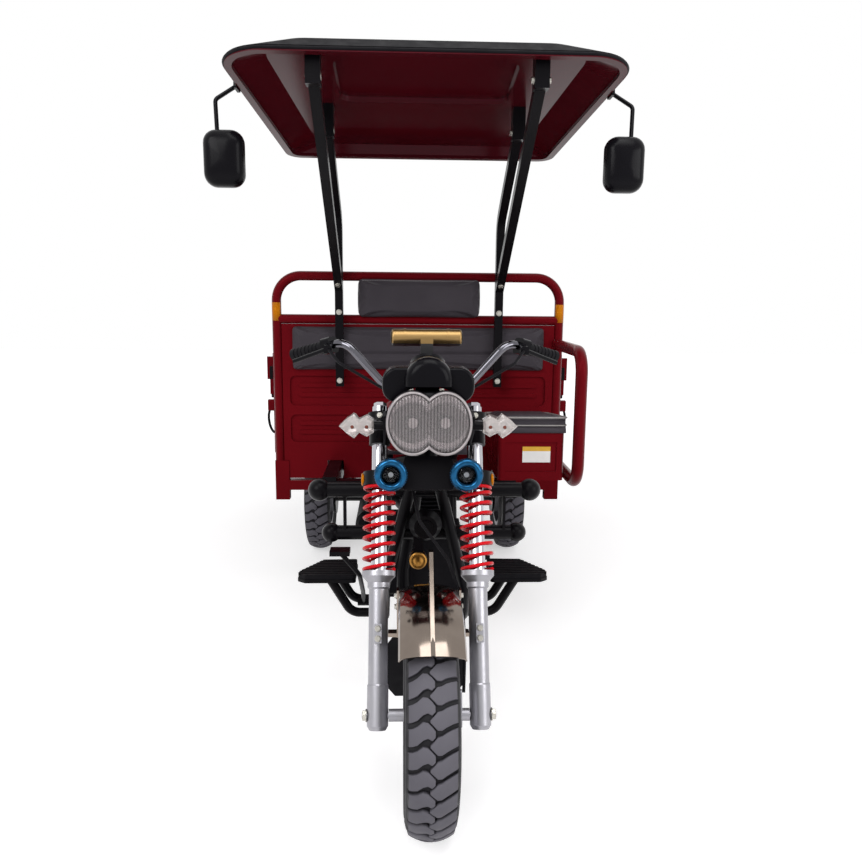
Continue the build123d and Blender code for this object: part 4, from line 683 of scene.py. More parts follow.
def tread_block(columns):
    """One block as a strip of quads over the tread's crown, with walls down into the groove."""
    loops = []
    for x, low, high in columns:
        flare = 1.06 if abs(x) == TREAD_HALF else 1.0
        loops.append([])
        for s, drop in ((low, 0), (high, 0), (high + 1.2, GROOVE + 1), (low - 1.2, GROOVE + 1)):
            r = crown(x) - drop - (0.4 if drop == 0 else 0)
            a = s / TYRE_RADIUS
            wide = x * flare if drop else x
            loops[-1].append(Vector((wide, r * math.sin(a), r * math.cos(a))) * MM)
    return lofted(loops)


BEAD = (-44, 152)
SIDEWALL = [BEAD, (-44, 165), (-52, 176), (-58, 190), (-60, 191), (-60.5, 196), (-59.5, 197), (-62, 207),
            (-62.5, 215), (-61.5, 224), (-60.2, 225), (-60, 231), (-60.4, 232), (-57, 246), (-54, 250)]
CARCASS = SIDEWALL + [(x, crown(x) - GROOVE) for x in (-51, -40, -28, -14, 0, 14, 28, 40, 51)]
CARCASS += [(-x, r) for x, r in reversed(SIDEWALL)] + [BEAD]


def tyre(name, body, node):
    """A treaded tyre in place of its plain solid."""
    low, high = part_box(node)
    hub = (low + high) / 2
    pair = joined([tread_block(LEFT_BLOCK), tread_block(RIGHT_BLOCK)])
    blocks = piece(name + "_blocks", *pair, tyre_compound)
    bevelled(blocks, 1.4, 2)
    grow(blocks, ring_tree, Count=PITCHES, Axis=(1, 0, 0), Centre=hub, Material=tyre_compound)
    carcass = piece(name + "_carcass", *turned(CARCASS, hub, (1, 0, 0), 96), tyre_compound)
    work = bmesh.new()
    work.from_mesh(carcass.data)
    work.from_mesh(blocks.data)
    work.to_mesh(carcass.data)
    work.free()
    bpy.data.objects.remove(blocks)
    for face in carcass.data.polygons:
        face.use_smooth = True
    carcass.data.set_sharp_from_angle(angle=math.radians(38))
    # Mark the block tops, down to a third of the groove below the crown, for the painted sheen.
    sheen_tops = carcass.data.attributes.new("painted_sheen", "FLOAT", "POINT")
    for vert, mark in zip(carcass.data.vertices, sheen_tops.data):
        across, *spoke = (vert.co - hub) / MM
        mark.value = float(abs(across) <= TREAD_HALF and math.hypot(*spoke) > crown(across) - GROOVE / 3)
    carcass.name = name
    return fit(carcass, body, "tyre_rubber", node)


# Each wheel's name, body, tyre solid, outer side and the reach of its disc's face, in mm.
WHEELS = (
    ("front", "front_wheel", "front_tyre", -1, 24),
    ("rear_left", "rear_wheel_left", "rear_tyre_left", 1, 28),
    ("rear_right", "rear_wheel_right", "rear_tyre_right", -1, 28),
)
NUT_CIRCLE, NUT_COUNT = 62, 5
for label, body, node, outer, disc in WHEELS:
    tyre(label + "_treaded_tyre", body, node)
    low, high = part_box(node)
    hub = (low + high) / 2
    nuts = [(hub + Vector((outer * disc, NUT_CIRCLE * math.cos(a), NUT_CIRCLE * math.sin(a))) * MM,
             (outer, 0, 0))
            for a in [2 * math.pi * k / NUT_COUNT for k in range(NUT_COUNT)]]
    bolts(label + "_wheel_nuts", body, nuts, 19, 12, 13)
    valve = piece(
        label + "_tyre_valve",
        *turned([(0, 0), (0, 5), (10, 5), (12, 3.5), (30, 3.5), (31, 0)],
                hub + Vector((outer * 18, 0, -136)) * MM, (outer, 0, 0.35), 12),
        moulded_rubber,
    )
    fit(valve, body, "black_rubber")


# Padding
CLOTH_STEPS = 20


def stuffed(name, verts, faces, sewn, voxel=6.0, cap=11.0, pressure=4.0):
    """Leathercloth blown up over foam: voxel remesh, a short cloth run, movement capped."""
    obj = piece(name, verts, faces, grey_leatherette)
    shell = obj.modifiers.new("shell", "REMESH")
    shell.mode = "VOXEL"
    shell.voxel_size = voxel * MM
    apply_modifiers(obj)
    rest = [v.co.copy() for v in obj.data.vertices]
    held = obj.vertex_groups.new(name="sewn")
    held.add([v.index for v in obj.data.vertices if sewn(v.co)], 1.0, "REPLACE")
    cloth = obj.modifiers.new("stuffing", "CLOTH")
    cloth.settings.quality = 4
    cloth.settings.use_pressure = True
    cloth.settings.uniform_pressure_force = pressure
    cloth.settings.effector_weights.gravity = 0
    cloth.settings.vertex_group_mass = held.name
    cloth.point_cache.frame_start = 1
    cloth.point_cache.frame_end = CLOTH_STEPS
    for step in range(1, CLOTH_STEPS + 1):
        scene.frame_set(step)
    apply_modifiers(obj)
    scene.frame_set(1)
    obj.vertex_groups.clear()
    for v, start in zip(obj.data.vertices, rest):
        move = v.co - start
        if move.length > cap * MM:
            v.co = start + move * (cap * MM / move.length)
    return obj


def smoothed(obj):
    """One level of subdivision, applied."""
    level = obj.modifiers.new("smooth", "SUBSURF")
    level.levels = level.render_levels = 1
    apply_modifiers(obj)
    for face in obj.data.polygons:
        face.use_smooth = True
    obj.data.materials.clear()
    obj.data.materials.append(grey_leatherette)
    return obj


def sewn_line(obj, axis, level, reach, depth, way, side):
    """Press a sewn channel into one side of a pad: points near level on axis move along way."""
    for v in obj.data.vertices:
        if side(v.co):
            near = (v.co[axis] - level * MM) / (reach * MM)
            v.co += Vector(way) * depth * MM * math.exp(-near * near)


def back_pad(name, node, middle, width, height, corner, front, back, channels):
    """A pad on the headboard: flat behind, crowned ahead, sewn along level channels."""
    x, z = middle
    loop = [at(x + u, back, z + w) for u, w in rounded_loop(width - 12, height - 12, corner)]
    obj = stuffed(name, *slab(loop, (0, -1, 0), back - front - 9), lambda p: p.y > at(0, back - 4, 0).y)
    smoothed(obj)
    for v in obj.data.vertices:
        v.co.y = min(max(v.co.y, at(0, front, 0).y), at(0, back, 0).y)
    for level in channels:
        sewn_line(obj, 2, level, 9, 7, (0, 1, 0), lambda p: p.y < at(0, back - 12, 0).y)
    return fit(obj, "chassis", "grey_vinyl", node)


back_pad("lower_back_pad", "back_pad_lower", (0, 1069), 994, 182, 14, 1293, 1326.8, (1048,))
back_pad("upper_back_pad", "back_pad_upper", (0, 1263.5), 480, 157, 15, 1283, 1321.7, ())
for name, z, half, setback in (("lower_pad_stitch", 1048, 470, 1305), ("upper_pad_stitch", 1330, 214, 1292)):
    row = piece(name, [at(-half + 20 * k, setback, z) for k in range(half // 10 + 1)], [], None)
    row.data.edges.add(len(row.data.vertices) - 1)
    for k in range(len(row.data.edges)):
        row.data.edges[k].vertices = (k, k + 1)
    row.data.update()
    grow(row, stitch_tree, Pitch=9 * MM, Stitch=6 * MM, Thread=0.9 * MM, Material=grey_thread)
    fit(row, "chassis", "grey_vinyl")

CUSHION_FOOT, SEAT_FOOT = 0.8083, 0.7362 + 0.0065
CUSHION_SIDE = ((899, 808.4), (1294, 808.4), (1294, 818), (905, 860), (899, 856))
cushion_left = [at(506, s, z) for s, z in CUSHION_SIDE]
side_cushion = stuffed("side_seat_cushion", *slab(cushion_left, (-1, 0, 0), 242), lambda p: p.z < 0.812)
smoothed(side_cushion)
for v in side_cushion.data.vertices:
    v.co.z = max(v.co.z, CUSHION_FOOT)
for setback in (1030, 1165):
    sewn_line(side_cushion, 1, at(0, setback, 0).y / MM, 9, 5, (0, 0, -1), lambda p: p.z > 0.825)
fit(side_cushion, "chassis", "grey_vinyl", "side_cushion")
# The piping follows the wedge: its height falls to the rear.
# The pale beads are piping, and also a painted highlight along the cushion's top edge and middle.
for name, share, bead in (("cushion_piping_upper", 1.0, 3.4), ("cushion_piping_middle", 0.5, 2.4)):
    edge = [at(385 + u, 1096.5 + w, 809 + share * (33.5 - 0.108 * w))
            for u, w in rounded_loop(245, 397, 24)]
    fit(beading(name, edge, bead, piping_pale_as_highlight), "chassis", "grey_vinyl")

SEAT_SIDE = ((842, 744), (1282, 744), (1282, 836), (1180, 822), (1000, 804), (864, 824), (846, 800))
seat_left = [at(158, s, z) for s, z in SEAT_SIDE]
seat = stuffed("riders_seat", *slab(seat_left, (-1, 0, 0), 316), lambda p: p.z < 0.752)
smoothed(seat)
for v in seat.data.vertices:
    v.co.z = max(v.co.z, SEAT_FOOT)
for setback in (950, 1040, 1130, 1215):
    sewn_line(seat, 1, at(0, setback, 0).y / MM, 9, 6, (0, 0, -1), lambda p: p.z > 0.79)
fit(seat, "chassis", "grey_vinyl", "driver_seat")
runners = []
for side in (-1, 1):
    rail = [at(side * 110 + dx, s, 736.3) for dx, s in ((-14, 850), (14, 850), (14, 1270), (-14, 1270))]
    runners.append(slab(rail, (0, 0, 1), 9))
fit(bevelled(piece("seat_runners", *joined(runners), black_coat, False), 1.5), "chassis", "black_paint")


# Headlamp: fluted lens, bulbs and bezel, over two ovals of these half sizes
LENS_WIDE, LENS_TALL = 59, 73


def lamp_reach(angle, wide, tall):
    """Distance from the lamp's middle to the edge of its two joined ovals, in mm."""
    u, w = abs(math.cos(angle)), math.sin(angle)
    a = (u / wide) ** 2 + (w / tall) ** 2
    b = -2 * LAMP_X * u / wide ** 2
    c = (LAMP_X / wide) ** 2 - 1
    return (-b + math.sqrt(b * b - 4 * a * c)) / (2 * a)


def fluted_lens(columns=200, rows=24):
    """A clear moulding over two joined ovals, bowed over each and fluted upright on its face."""
    verts, faces = [], []
    span = LAMP_X + LENS_WIDE
    for setback, bulge, flute in ((153.5, 6.0, 0.35), (160.5, 5.0, 0.0)):
        base = len(verts)
        for i in range(columns + 1):
            x = -span + 2 * span * i / columns
            wave = math.cos(2 * math.pi * x / FLUTE_PITCH)
            share = ((abs(x) - LAMP_X) / LENS_WIDE) ** 2
            half = LENS_TALL * math.sqrt(max(0.0, 1 - share))
            for j in range(rows + 1):
                z = half * (2 * j / rows - 1)
                depth = max(0.0, 1 - share - (z / LENS_TALL) ** 2)
                out = bulge * (1 - (1 - depth) ** 2) + flute * min(1.0, 6 * depth) * wave
                verts.append(at(x, setback - out, LAMP_Z + z))
        for i in range(columns):
            a, b = base + i * (rows + 1), base + (i + 1) * (rows + 1)
            faces += [(a + j, a + j + 1, b + j + 1, b + j) for j in range(rows)]
    behind = (columns + 1) * (rows + 1)
    for i in range(columns):
        for j in (0, rows):
            a, b = i * (rows + 1) + j, (i + 1) * (rows + 1) + j
            faces.append((a, b, b + behind, a + behind))
    return verts, faces


lens = piece("fluted_headlamp_lens", *fluted_lens(), fluted_clear)
fit(lens, "steering", "clear_glass", "headlamp_lens")
BEZEL_STEPS, BEZEL_GAP = 120, 3.5
bezel_line = []
for k in range(BEZEL_STEPS):
    angle = 2 * math.pi * k / BEZEL_STEPS
    reach = lamp_reach(angle, LENS_WIDE + BEZEL_GAP, LENS_TALL + BEZEL_GAP)
    bezel_line.append(at(reach * math.cos(angle), 151, LAMP_Z + reach * math.sin(angle)))
fit(beading("headlamp_bezel", bezel_line, 2.6, lamp_shell), "steering", "clear_glass")
for side, label in SIDES:
    bulb = turned([(0, 0), (1, 9), (4, 13), (16, 13), (24, 13), (26, 12), (34, 12), (34, 0)],
                  at(side * LAMP_X, 158, LAMP_Z), (0, 1, 0), 28)
    fit(piece("headlamp_bulb_" + label, *bulb, white_film), "steering", "clear_glass")
    # Dark collar behind each bulb: the reflector's hole, and a painted shadow ring round the bulb.
    shadow_collar = turned([(0, 14), (0, 22), (6, 22), (6, 14), (0, 14)],
                    at(side * LAMP_X, 162, LAMP_Z), (0, 1, 0), 40)
    fit(piece("bulb_collar_and_shadow_ring_" + label, *shadow_collar, dial_card), "steering", "black_plastic")


# Arrow-shaped indicators: a frosted faceted block over bright cups, with small bulbs ahead
WAIST, INNER_MID, OUTER_MID = 175, 156, 199
ARROW = ((138.2, -16), (156, -27), (WAIST, -17), (188, -31), (206, -19), (226, 0), (206, 19), (188, 31),
         (WAIST, 17), (156, 27), (138.2, 16))
CUPS = ((156, 13), (192, 16))


def crystal(side):
    """A faceted arrow: the outline drawn in twice towards ridges at its front."""
    loops = []
    for setback, draw in ((226, 1.0), (198, 1.0), (188, 0.7), (186.2, 0.34)):
        loops.append([])
        for x, z in ARROW:
            mid = INNER_MID if x < WAIST else OUTER_MID
            pull = draw if x != WAIST else 0.55 + 0.45 * draw
            loops[-1].append(at(side * (mid + (x - mid) * pull), setback, INDICATOR_Z + z * draw))
    return lofted(loops)


crystals = piece("indicator_crystals", *joined([crystal(-1), crystal(1)]), frosted_acrylic, False)
bevelled(crystals, 0.8, 1)
fit(crystals, "steering", "clear_glass", "indicators")
facets = []
for side in (-1, 1):
    for mid, reach in CUPS:
        cup = [(0, 0), (0.5, reach * 0.35), (5, reach * 0.6), (8, reach), (-0.8, reach), (-0.8, 0)]
        facets.append(turned(cup, at(side * mid, 219, INDICATOR_Z), (0, -1, 0), 8))
fit(piece("indicator_facet_cups", *joined(facets), aluminised_bowl, False), "steering", "chrome")
BULB = ((0, 0), (0, 4), (1.5, 4.5), (2.5, 3), (3, 0))
lamps = [turned(BULB, at(side * mid, 187.2, INDICATOR_Z), (0, -1, 0), 16)
         for side in (-1, 1) for mid, _ in CUPS]
fit(piece("indicator_bulbs", *joined(lamps), tinted_bulb), "steering", "red_lens")

# Spot lamps: smoked projector lens, ribbed ring, bowl and lamp chip
RING_RIBS = 40
for side, label in SIDES:
    mid = at(side * 95, 150, 836)
    dome = turned([(-1, 0), (-1.4, 9), (-2.4, 17), (-3.6, 23.7), (-4.8, 23.7), (-4.2, 0)],
                  mid, (0, -1, 0), 48)
    fit(piece("spot_lens_" + label, *dome, smoked_glass), "steering", "clear_glass")
    bezel = turned([(0.2, 24.3), (4, 26.5), (5.6, 30), (5.8, 33), (4.6, 37), (2, 40), (0.2, 40.9),
                    (0.2, 24.3)], mid, (0, -1, 0), 64)
    fit(piece("spot_bezel_" + label, *bezel, blue_anodised), "steering", "blue_plastic")
    bowl = turned([(-7.3, 0), (-7.3, 10), (-5.2, 23.4), (-7.8, 23.4), (-7.8, 0)], mid, (0, -1, 0), 40)
    fit(piece("spot_bowl_" + label, *bowl, black_abs), "steering", "black_plastic")
    chip = turned([(-5.4, 0), (-5.4, 5), (-6, 6.5), (-7.2, 6.5), (-7.2, 0)], mid, (0, -1, 0), 24)
    fit(piece("spot_emitter_" + label, *chip, dial_print), "steering", "chrome")
    foot = [Vector((u, 2, w)) * MM for u, w in ((-1.6, 40.4), (1.6, 40.4), (1.0, 42.2), (-1.0, 42.2))]
    rib = piece("spot_ring_ribs_" + label, *slab(foot, (0, 1, 0), 10), spot_shell, False)
    grow(rib, ring_tree, Count=RING_RIBS, Axis=(0, 1, 0), Centre=mid, Material=spot_shell)
    fit(rib, "steering", "blue_plastic")

# Round amber reflectors on the ends of the lower clamp
for side, label in SIDES:
    disc = turned([(0, 0), (0, 14), (-1.5, 16.5), (-8, 16.5), (-8, 0)],
                  along_fork(side * 172, -45, 580), (side, 0, 0), 40)
    fit(piece("fork_reflector_" + label, *disc, amber_acrylic), "steering", "red_lens")

# Fork and handlebar fastenings
leg_tops = [(along_fork(x, y, 774.6), FORK_UP) for x, y in LEGS]
bolts("fork_top_caps", "steering", leg_tops, 30, 12, 19, chrome_plate)
axle_ends = [(at(side * 152.8, 0, TYRE_RADIUS), (side, 0, 0)) for side in (-1, 1)]
bolts("axle_nuts", "steering", axle_ends, 24, 9, 15.5)
pinch = [(along_fork(x, y - 33, 745), FORK_AHEAD) for x, y in LEGS]
pinch += [(along_fork(x, y, 832), FORK_UP) for x in (-42, 42) for y in (-9, 19)]
bolts("clamp_bolts", "steering", pinch, 12, 6, 8)
stays = [(at(side * 79.3, 80, z), (side, 0, 0)) for side in (-1, 1) for z in (548, 520)]
stays += [(along_fork(x, y - 35.5, z), FORK_AHEAD) for x, y in LEGS for z in (180, 204)]
bolts("fender_bolts", "steering", stays, 12, 6, 8)
nut = turned([(0, 0), (0, 18), (5, 18), (9, 12), (9, 0)], along_fork(0, 0, 757), FORK_UP, 6)
fit(piece("stem_nut", *nut, chrome_plate, False), "steering", "chrome")

# Instrument: dial, printed ticks and needle
DIAL_TICKS = 36
dial_out = Vector((0, 0.72, 0.694)).normalized()
dial_mid = at(0, 300, 1096) + dial_out * -5.4 * MM
dial_up = Vector((1, 0, 0)).cross(dial_out) * -1
card = turned([(0, 0), (0, 41.6), (-1, 41.6), (-1, 0)], dial_mid, dial_out, 48)
fit(piece("dial_card", *card, dial_card), "steering", "black_plastic")
mark = [(dial_out * 0.3 + Vector((1, 0, 0)) * u + dial_up * w) * MM
        for u, w in ((-0.8, 31), (0.8, 31), (0.8, 39), (-0.8, 39))]
ticks = piece("dial_ticks", *slab(mark, dial_out, 0.5), dial_print, False)
grow(ticks, ring_tree, Count=DIAL_TICKS, Axis=dial_out, Centre=dial_mid, Material=dial_print)
fit(ticks, "steering", "chrome")
needle = [dial_mid + dial_out * 1.6 * MM + (Vector((1, 0, 0)) * u + dial_up * w) * MM
          for u, w in ((-2.2, -6), (1.5, -6.5), (-19, 24), (-20, 23.4))]
fit(piece("dial_needle", *slab(needle, dial_out, 0.8), spring_enamel, False), "steering", "spring_red")

# Mirrors: a domed shell over each back, and the glass
# Setback of each loop of the shell, and how far it is drawn in.
MIRROR_SHELL = (
    (572, 1.006), (562, 1.0), (551, 0.965), (542, 0.88), (535.5, 0.7), (531.5, 0.4), (530.5, 0.12)
)
for side, label in SIDES:
    loops = [[at(side * MIRROR_X + u * draw, setback, MIRROR_Z + w * draw)
              for u, w in rounded_loop(113, 155, 36)] for setback, draw in MIRROR_SHELL]
    shell = piece("mirror_shell_" + label, *lofted(loops), black_abs)
    shell.data.set_sharp_from_angle(angle=math.radians(50))
    fit(shell, "chassis", "black_plastic")
    face = [at(side * MIRROR_X + u, 579.8, MIRROR_Z + w) for u, w in rounded_loop(96, 138, 30)]
    pane = piece("mirror_glass_" + label, *slab(face, (0, 1, 0), 1.4), mirror_glass, False)
    fit(bevelled(pane, 0.5), "chassis", "chrome")


# Canopy edge trim: a rubber bead pressed on the sheet's lip, and a strip up its front slope
ROOF_FRONT_HALF, ROOF_REAR_HALF, ROOF_LENGTH = 560, 482, 874
ARC_POINTS = 13


def roof_loop(height, inset_side, inset_end):
    """Points round the roof's splayed outline at a height, ARC_POINTS on each corner."""
    front, rear = ROOF_FRONT_HALF - inset_side, ROOF_REAR_HALF - inset_side
    end = ROOF_LENGTH - inset_end
    corners = ((-front, inset_end, 120), (front, inset_end, 120), (rear, end, 55), (-rear, end, 55))
    loop = []
    for k, (u, w, radius) in enumerate(corners):
        here = Vector((u, w))
        before = (Vector(corners[k - 1][:2]) - here).normalized()
        after = (Vector(corners[(k + 1) % 4][:2]) - here).normalized()
        half = before.angle(after) / 2
        middle = here + (before + after).normalized() * radius / math.sin(half)
        start = here + before * radius / math.tan(half) - middle
        for j in range(ARC_POINTS):
            p = middle + Matrix.Rotation((math.pi - 2 * half) * j / (ARC_POINTS - 1), 2) @ start
            loop.append(on_roof(p.x, p.y, height))
    return loop


fit(beading("canopy_edge_trim", roof_loop(8, 0, 0), 4.8, moulded_rubber), "chassis", "black_rubber")
# The strip spans the two front corners.
lip, crest = roof_loop(12, 0, 0)[:2 * ARC_POINTS], roof_loop(46, 110, 34)[:2 * ARC_POINTS]
raised = on_roof(0, -0.7, 0.7) - on_roof(0, 0, 0)
loops = []
for low, high in zip(lip, crest):
    top = low.lerp(high, 0.97)
    loops.append([low + raised * 0.3, top + raised * 0.3, top + raised * 3, low + raised * 3])
fit(piece("canopy_front_strip", *lofted(loops), moulded_rubber, False), "chassis", "black_rubber")

# Headboard reflectors, bolts and the blank label on the side box
bands = []
for side in (-1, 1):
    ring = []
    for k in range(13):
        a = math.radians(-150 + 120 * k / 12)
        ring.append((math.cos(a), math.sin(a)))
    verts, faces = [], []
    for r in (18.1, 19.4):
        for z in (1174, 1244):
            verts += [at(side * 552 + r * u, 1340 + r * w, z) for u, w in ring]
    n = len(ring)
    for k in range(n - 1):
        faces += [(k, k + 1, n + k + 1, n + k), (2 * n + k, 2 * n + k + 1, 3 * n + k + 1, 3 * n + k),
                  (k, k + 1, 2 * n + k + 1, 2 * n + k), (n + k, n + k + 1, 3 * n + k + 1, 3 * n + k)]
    faces += [(0, n, 3 * n, 2 * n), (n - 1, 2 * n - 1, 4 * n - 1, 3 * n - 1)]
    bands.append((verts, faces))
fit(piece("headboard_reflectors", *joined(bands), amber_acrylic), "chassis", "red_lens")

body_bolts = [(at(side * POST_X, 1261, z), (0, -1, 0)) for side in (-1, 1) for z in (1210, 949)]
body_bolts += [(at(side * POST_X, 1230.5, 1311), (0, -0.568, -0.823)) for side in (-1, 1)]
body_bolts += [(at(side * (POST_X + 20 * way), s, z), (way, 0, 0))
               for side in (-1, 1) for way in (-1, 1) for s, z in ((472, 1850), (880, 1794))]
body_bolts += [(at(side * 330 + dx, 2130 + dy, 290), (0, 0, -1))
               for side in (-1, 1) for dx in (-22, 22) for dy in (-55, 55)]
bolts("body_bolts", "chassis", body_bolts, 15, 7, 11)
# Each round engine cover: setback, height, radius of its screw circle and reach beyond the crankcase.
ENGINE_COVERS = ((667, 448, 78, 38), (838, 442, 68, 26))
CASE_HALF, COVER_SCREWS = 105, 7
engine_screws = []
for side in (-1, 1):
    for setback, z, radius, reach in ENGINE_COVERS:
        for k in range(COVER_SCREWS):
            a = 2 * math.pi * k / COVER_SCREWS
            u, w = radius * math.cos(a), radius * math.sin(a)
            engine_screws.append((at(side * (CASE_HALF + reach - 0.5), setback + u, z + w), (side, 0, 0)))
bolts("engine_cover_screws", "chassis", engine_screws, 9, 4, 5.5)
LABEL_X, LABEL_Z = 404, 732
label = [at(LABEL_X + u, 908.8, LABEL_Z + w) for u, w in ((-49, -28), (49, -28), (49, 12), (-49, 12))]
fit(piece("side_box_label", *slab(label, (0, -1, 0), 0.5), white_film, False), "chassis", "chrome")
band = [at(LABEL_X + u, 908.8, LABEL_Z + w) for u, w in ((-49, 12), (49, 12), (49, 28), (-49, 28))]
fit(piece("side_box_label_band", *slab(band, (0, -1, 0), 0.5), yellow_film, False), "chassis", "brass_gold")

# Brass cap on the switch below the horn
switch = turned([(0, 0), (0, 11), (2, 13), (2, 21), (0, 25), (-20, 26.4), (-20, 0)],
                at(-20, 369, 536), (0, -1, 0), 40)
fit(piece("switch_brass_cap", *switch, horn_brass), "chassis", "brass_gold")

# Speaker bar: end caps
for side, label in SIDES:
    cap = turned([(0, 0), (0, 14), (-1.5, 16), (-1.5, 17.6), (-4, 17.6), (-4, 0)],
                 at(side * 98.5, 398, 1164), (side, 0, 0), 40)
    fit(piece("speaker_grille_" + label, *cap, black_coat), "steering", "black_paint")

# Fuel cap
cap = turned([(26, 0), (26, 20), (24, 28), (20, 30), (16, 30), (16, 34.6), (2, 34.6), (2, 0)],
             at(0, 560, 960), (0, 0, 1), 40)
fit(piece("fuel_cap", *cap, chrome_plate), "chassis", "chrome")

# Gate latches and hinge bolts
GATE_FACE = 577.2
LATCHES = ((1392, "front"), (3052, "rear"))
HINGE_SPREAD, HINGE_ROWS = (-13, 13), (664, 692)
for side, label in SIDES:
    latch = []
    for setback, _ in LATCHES:
        for low, high, half, reach in ((866, 968, 9, 11), (940, 992, 13.8, 15)):
            loop = [at(side * GATE_FACE, setback + u, z) for u, z in
                    ((-half, low), (half, low), (half, high), (-half, high))]
            latch.append(slab(loop, (side, 0, 0), reach))
    fit(bevelled(piece("gate_latches_" + label, *joined(latch), black_coat, False), 2.0),
        "side_gate_" + label, "black_paint")
    for setback, end in LATCHES:
        lever = [at(side * (577 + out), setback, z) for out, z in
                 ((21, 815), (25, 795), (25, 775), (22, 755), (16, 738), (9, 727), (3, 722))]
        fit(beading("gate_lever_" + end + "_" + label, lever, 5, black_coat, False),
            "side_gate_" + label, "black_paint")
        knob = [at(side * GATE_FACE, setback + u, 835 + w) for u, w in rounded_loop(26, 46, 8)]
        knob = piece("gate_knob_" + end + "_" + label, *slab(knob, (side, 0, 0), 26), red_enamel, False)
        fit(bevelled(knob, 3), "side_gate_" + label, "red_paint")
    hinge = [(at(side * 584, s + du, z), (side, 0, 0))
             for s in (1560, 2220, 2880) for du in HINGE_SPREAD for z in HINGE_ROWS]
    bolts("gate_hinge_bolts_" + label, "side_gate_" + label, hinge, 11, 5, 7)
tail_hinge = [(at(x + du, 3124, z), (0, 1, 0))
              for x in (-400, 0, 400) for du in HINGE_SPREAD for z in HINGE_ROWS]
bolts("tailgate_hinge_bolts", "tailgate", tail_hinge, 11, 5, 7)

# Tail lamps: amber outer ends over the red lens
ends = []
for side in (-1, 1):
    loop = [at(side * 478 + u, 3099.6, 586 + w) for u, w in rounded_loop(42, 58, 11)]
    ends.append(slab(loop, (0, 1, 0), 2.2))
fit(bevelled(piece("tail_lamp_amber_ends", *joined(ends), amber_acrylic, False), 0.8), "chassis", "red_lens")

# Bed floor: raised lozenges of tread plate
floor_plate = piece("bed_tread_plate", [at(0, 2222, 660)], [], None)
grow(floor_plate, plate_tree, Width=1.02, Length=1.66, Across=26, Along=43, Lozenge=14 * MM,
     Centre=at(0, 2222, 660.5), Material=red_enamel)
fit(floor_plate, "chassis", "red_paint")


# Studio: pale floor, white surround, soft lamps
def seen_by_eye(tree):
    """1 for rays that come straight to the camera, or by gloss or glass."""
    rays = add_node(tree, "ShaderNodeLightPath").outputs
    seen = rays["Is Camera Ray"]
    for kind in ("Is Glossy Ray", "Is Transmission Ray"):
        seen = add_node(tree, "ShaderNodeMath", {0: seen, 1: rays[kind]}, operation="MAXIMUM").outputs[0]
    return seen


FLOOR_HALF, FLOOR_Z = 14, -0.0005
corners = [Vector((x * FLOOR_HALF, y * FLOOR_HALF, FLOOR_Z))
           for x, y in ((-1, -1), (1, -1), (1, 1), (-1, 1))]
floor = piece("studio_floor", corners, [(0, 1, 2, 3)], None, False)
pale = bpy.data.materials.new("pale_studio_floor")
pale.use_nodes = True
tree = pale.node_tree
bsdf = tree.nodes["Principled BSDF"]
bsdf.inputs["Base Color"].default_value = tint("#e4e3e4")
bsdf.inputs["Roughness"].default_value = 0.9
bsdf.inputs["Emission Color"].default_value = (1, 1, 1, 1)
# Painted shade: seen by eye, the floor glows 0.5 within 1.5 m of the origin and 0.8 beyond 6 m, so it is
# darker round the vehicle.
place = add_node(tree, "ShaderNodeTexCoord").outputs["Object"]
away = add_node(tree, "ShaderNodeVectorMath", {0: place}, operation="LENGTH").outputs["Value"]
lift = add_node(
    tree, "ShaderNodeMapRange",
    {"Value": away, "From Min": 1.5, "From Max": 6.0, "To Min": 0.5, "To Max": 0.8},
).outputs[0]
glow = add_node(tree, "ShaderNodeMath", {0: seen_by_eye(tree), 1: lift}, operation="MULTIPLY")
tree.links.new(glow.outputs[0], bsdf.inputs["Emission Strength"])
floor.data.materials.append(pale)

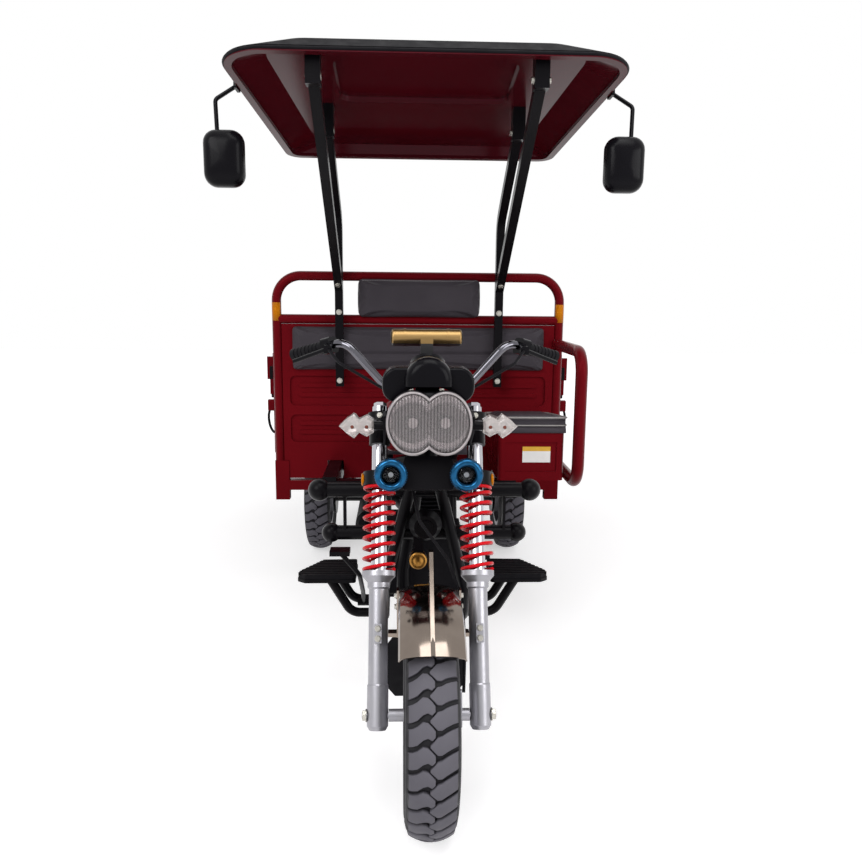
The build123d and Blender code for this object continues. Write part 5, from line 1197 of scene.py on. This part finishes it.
world = bpy.data.worlds.new("white_studio")
scene.world = world
world.use_nodes = True
tree = world.node_tree
strength = add_node(tree, "ShaderNodeMapRange", {"Value": seen_by_eye(tree), "To Min": 0.42, "To Max": 1.0})
tree.links.new(strength.outputs[0], tree.nodes["Background"].inputs["Strength"])
tree.nodes["Background"].inputs["Color"].default_value = (1, 1, 1, 1)


def soft_lamp(name, place, aim, size, power):
    """A square soft box turned to a point."""
    data = bpy.data.lights.new(name, "AREA")
    data.size = size
    data.energy = power
    lamp = bpy.data.objects.new(name, data)
    lamp.location = place
    lamp.rotation_mode = "QUATERNION"
    lamp.rotation_quaternion = (Vector(aim) - Vector(place)).to_track_quat("-Z", "Y")
    scene.collection.objects.link(lamp)


soft_lamp("key_soft_box", (-2.6, -4.6, 3.6), (0, -0.6, 0.8), 2.6, 150)
soft_lamp("fill_soft_box", (3.4, -4.0, 2.2), (0, -0.6, 0.8), 2.6, 90)
soft_lamp("top_soft_box", (0.4, -2.6, 4.8), (0, 0.0, 0.8), 2.6, 90)

# Camera at the photograph's angle, its focal length and frame in pixels
FOCAL_PX, FRAME_PX, SENSOR = 780, 862, 36
EYE = (-0.0716, AXLE_Y - 1.745, 1.283)
PITCH_DOWN, YAW, ROLL = math.radians(10.0), math.radians(2.294), math.radians(0.529)
flat = math.cos(PITCH_DOWN)
ahead = Vector((math.sin(YAW) * flat, math.cos(YAW) * flat, -math.sin(PITCH_DOWN)))
across = Vector((math.cos(YAW), -math.sin(YAW), 0))
down = ahead.cross(across)
c, s = math.cos(ROLL), math.sin(ROLL)
right = across * c - down * s
up = -(across * s + down * c)
camera_data = bpy.data.cameras.new("camera")
camera_data.sensor_width = SENSOR
camera_data.lens = SENSOR * FOCAL_PX / FRAME_PX
camera = bpy.data.objects.new("camera", camera_data)
camera.matrix_world = Matrix((
    (right.x, up.x, -ahead.x, EYE[0]),
    (right.y, up.y, -ahead.y, EYE[1]),
    (right.z, up.z, -ahead.z, EYE[2]),
    (0, 0, 0, 1),
))
scene.collection.objects.link(camera)
scene.camera = camera
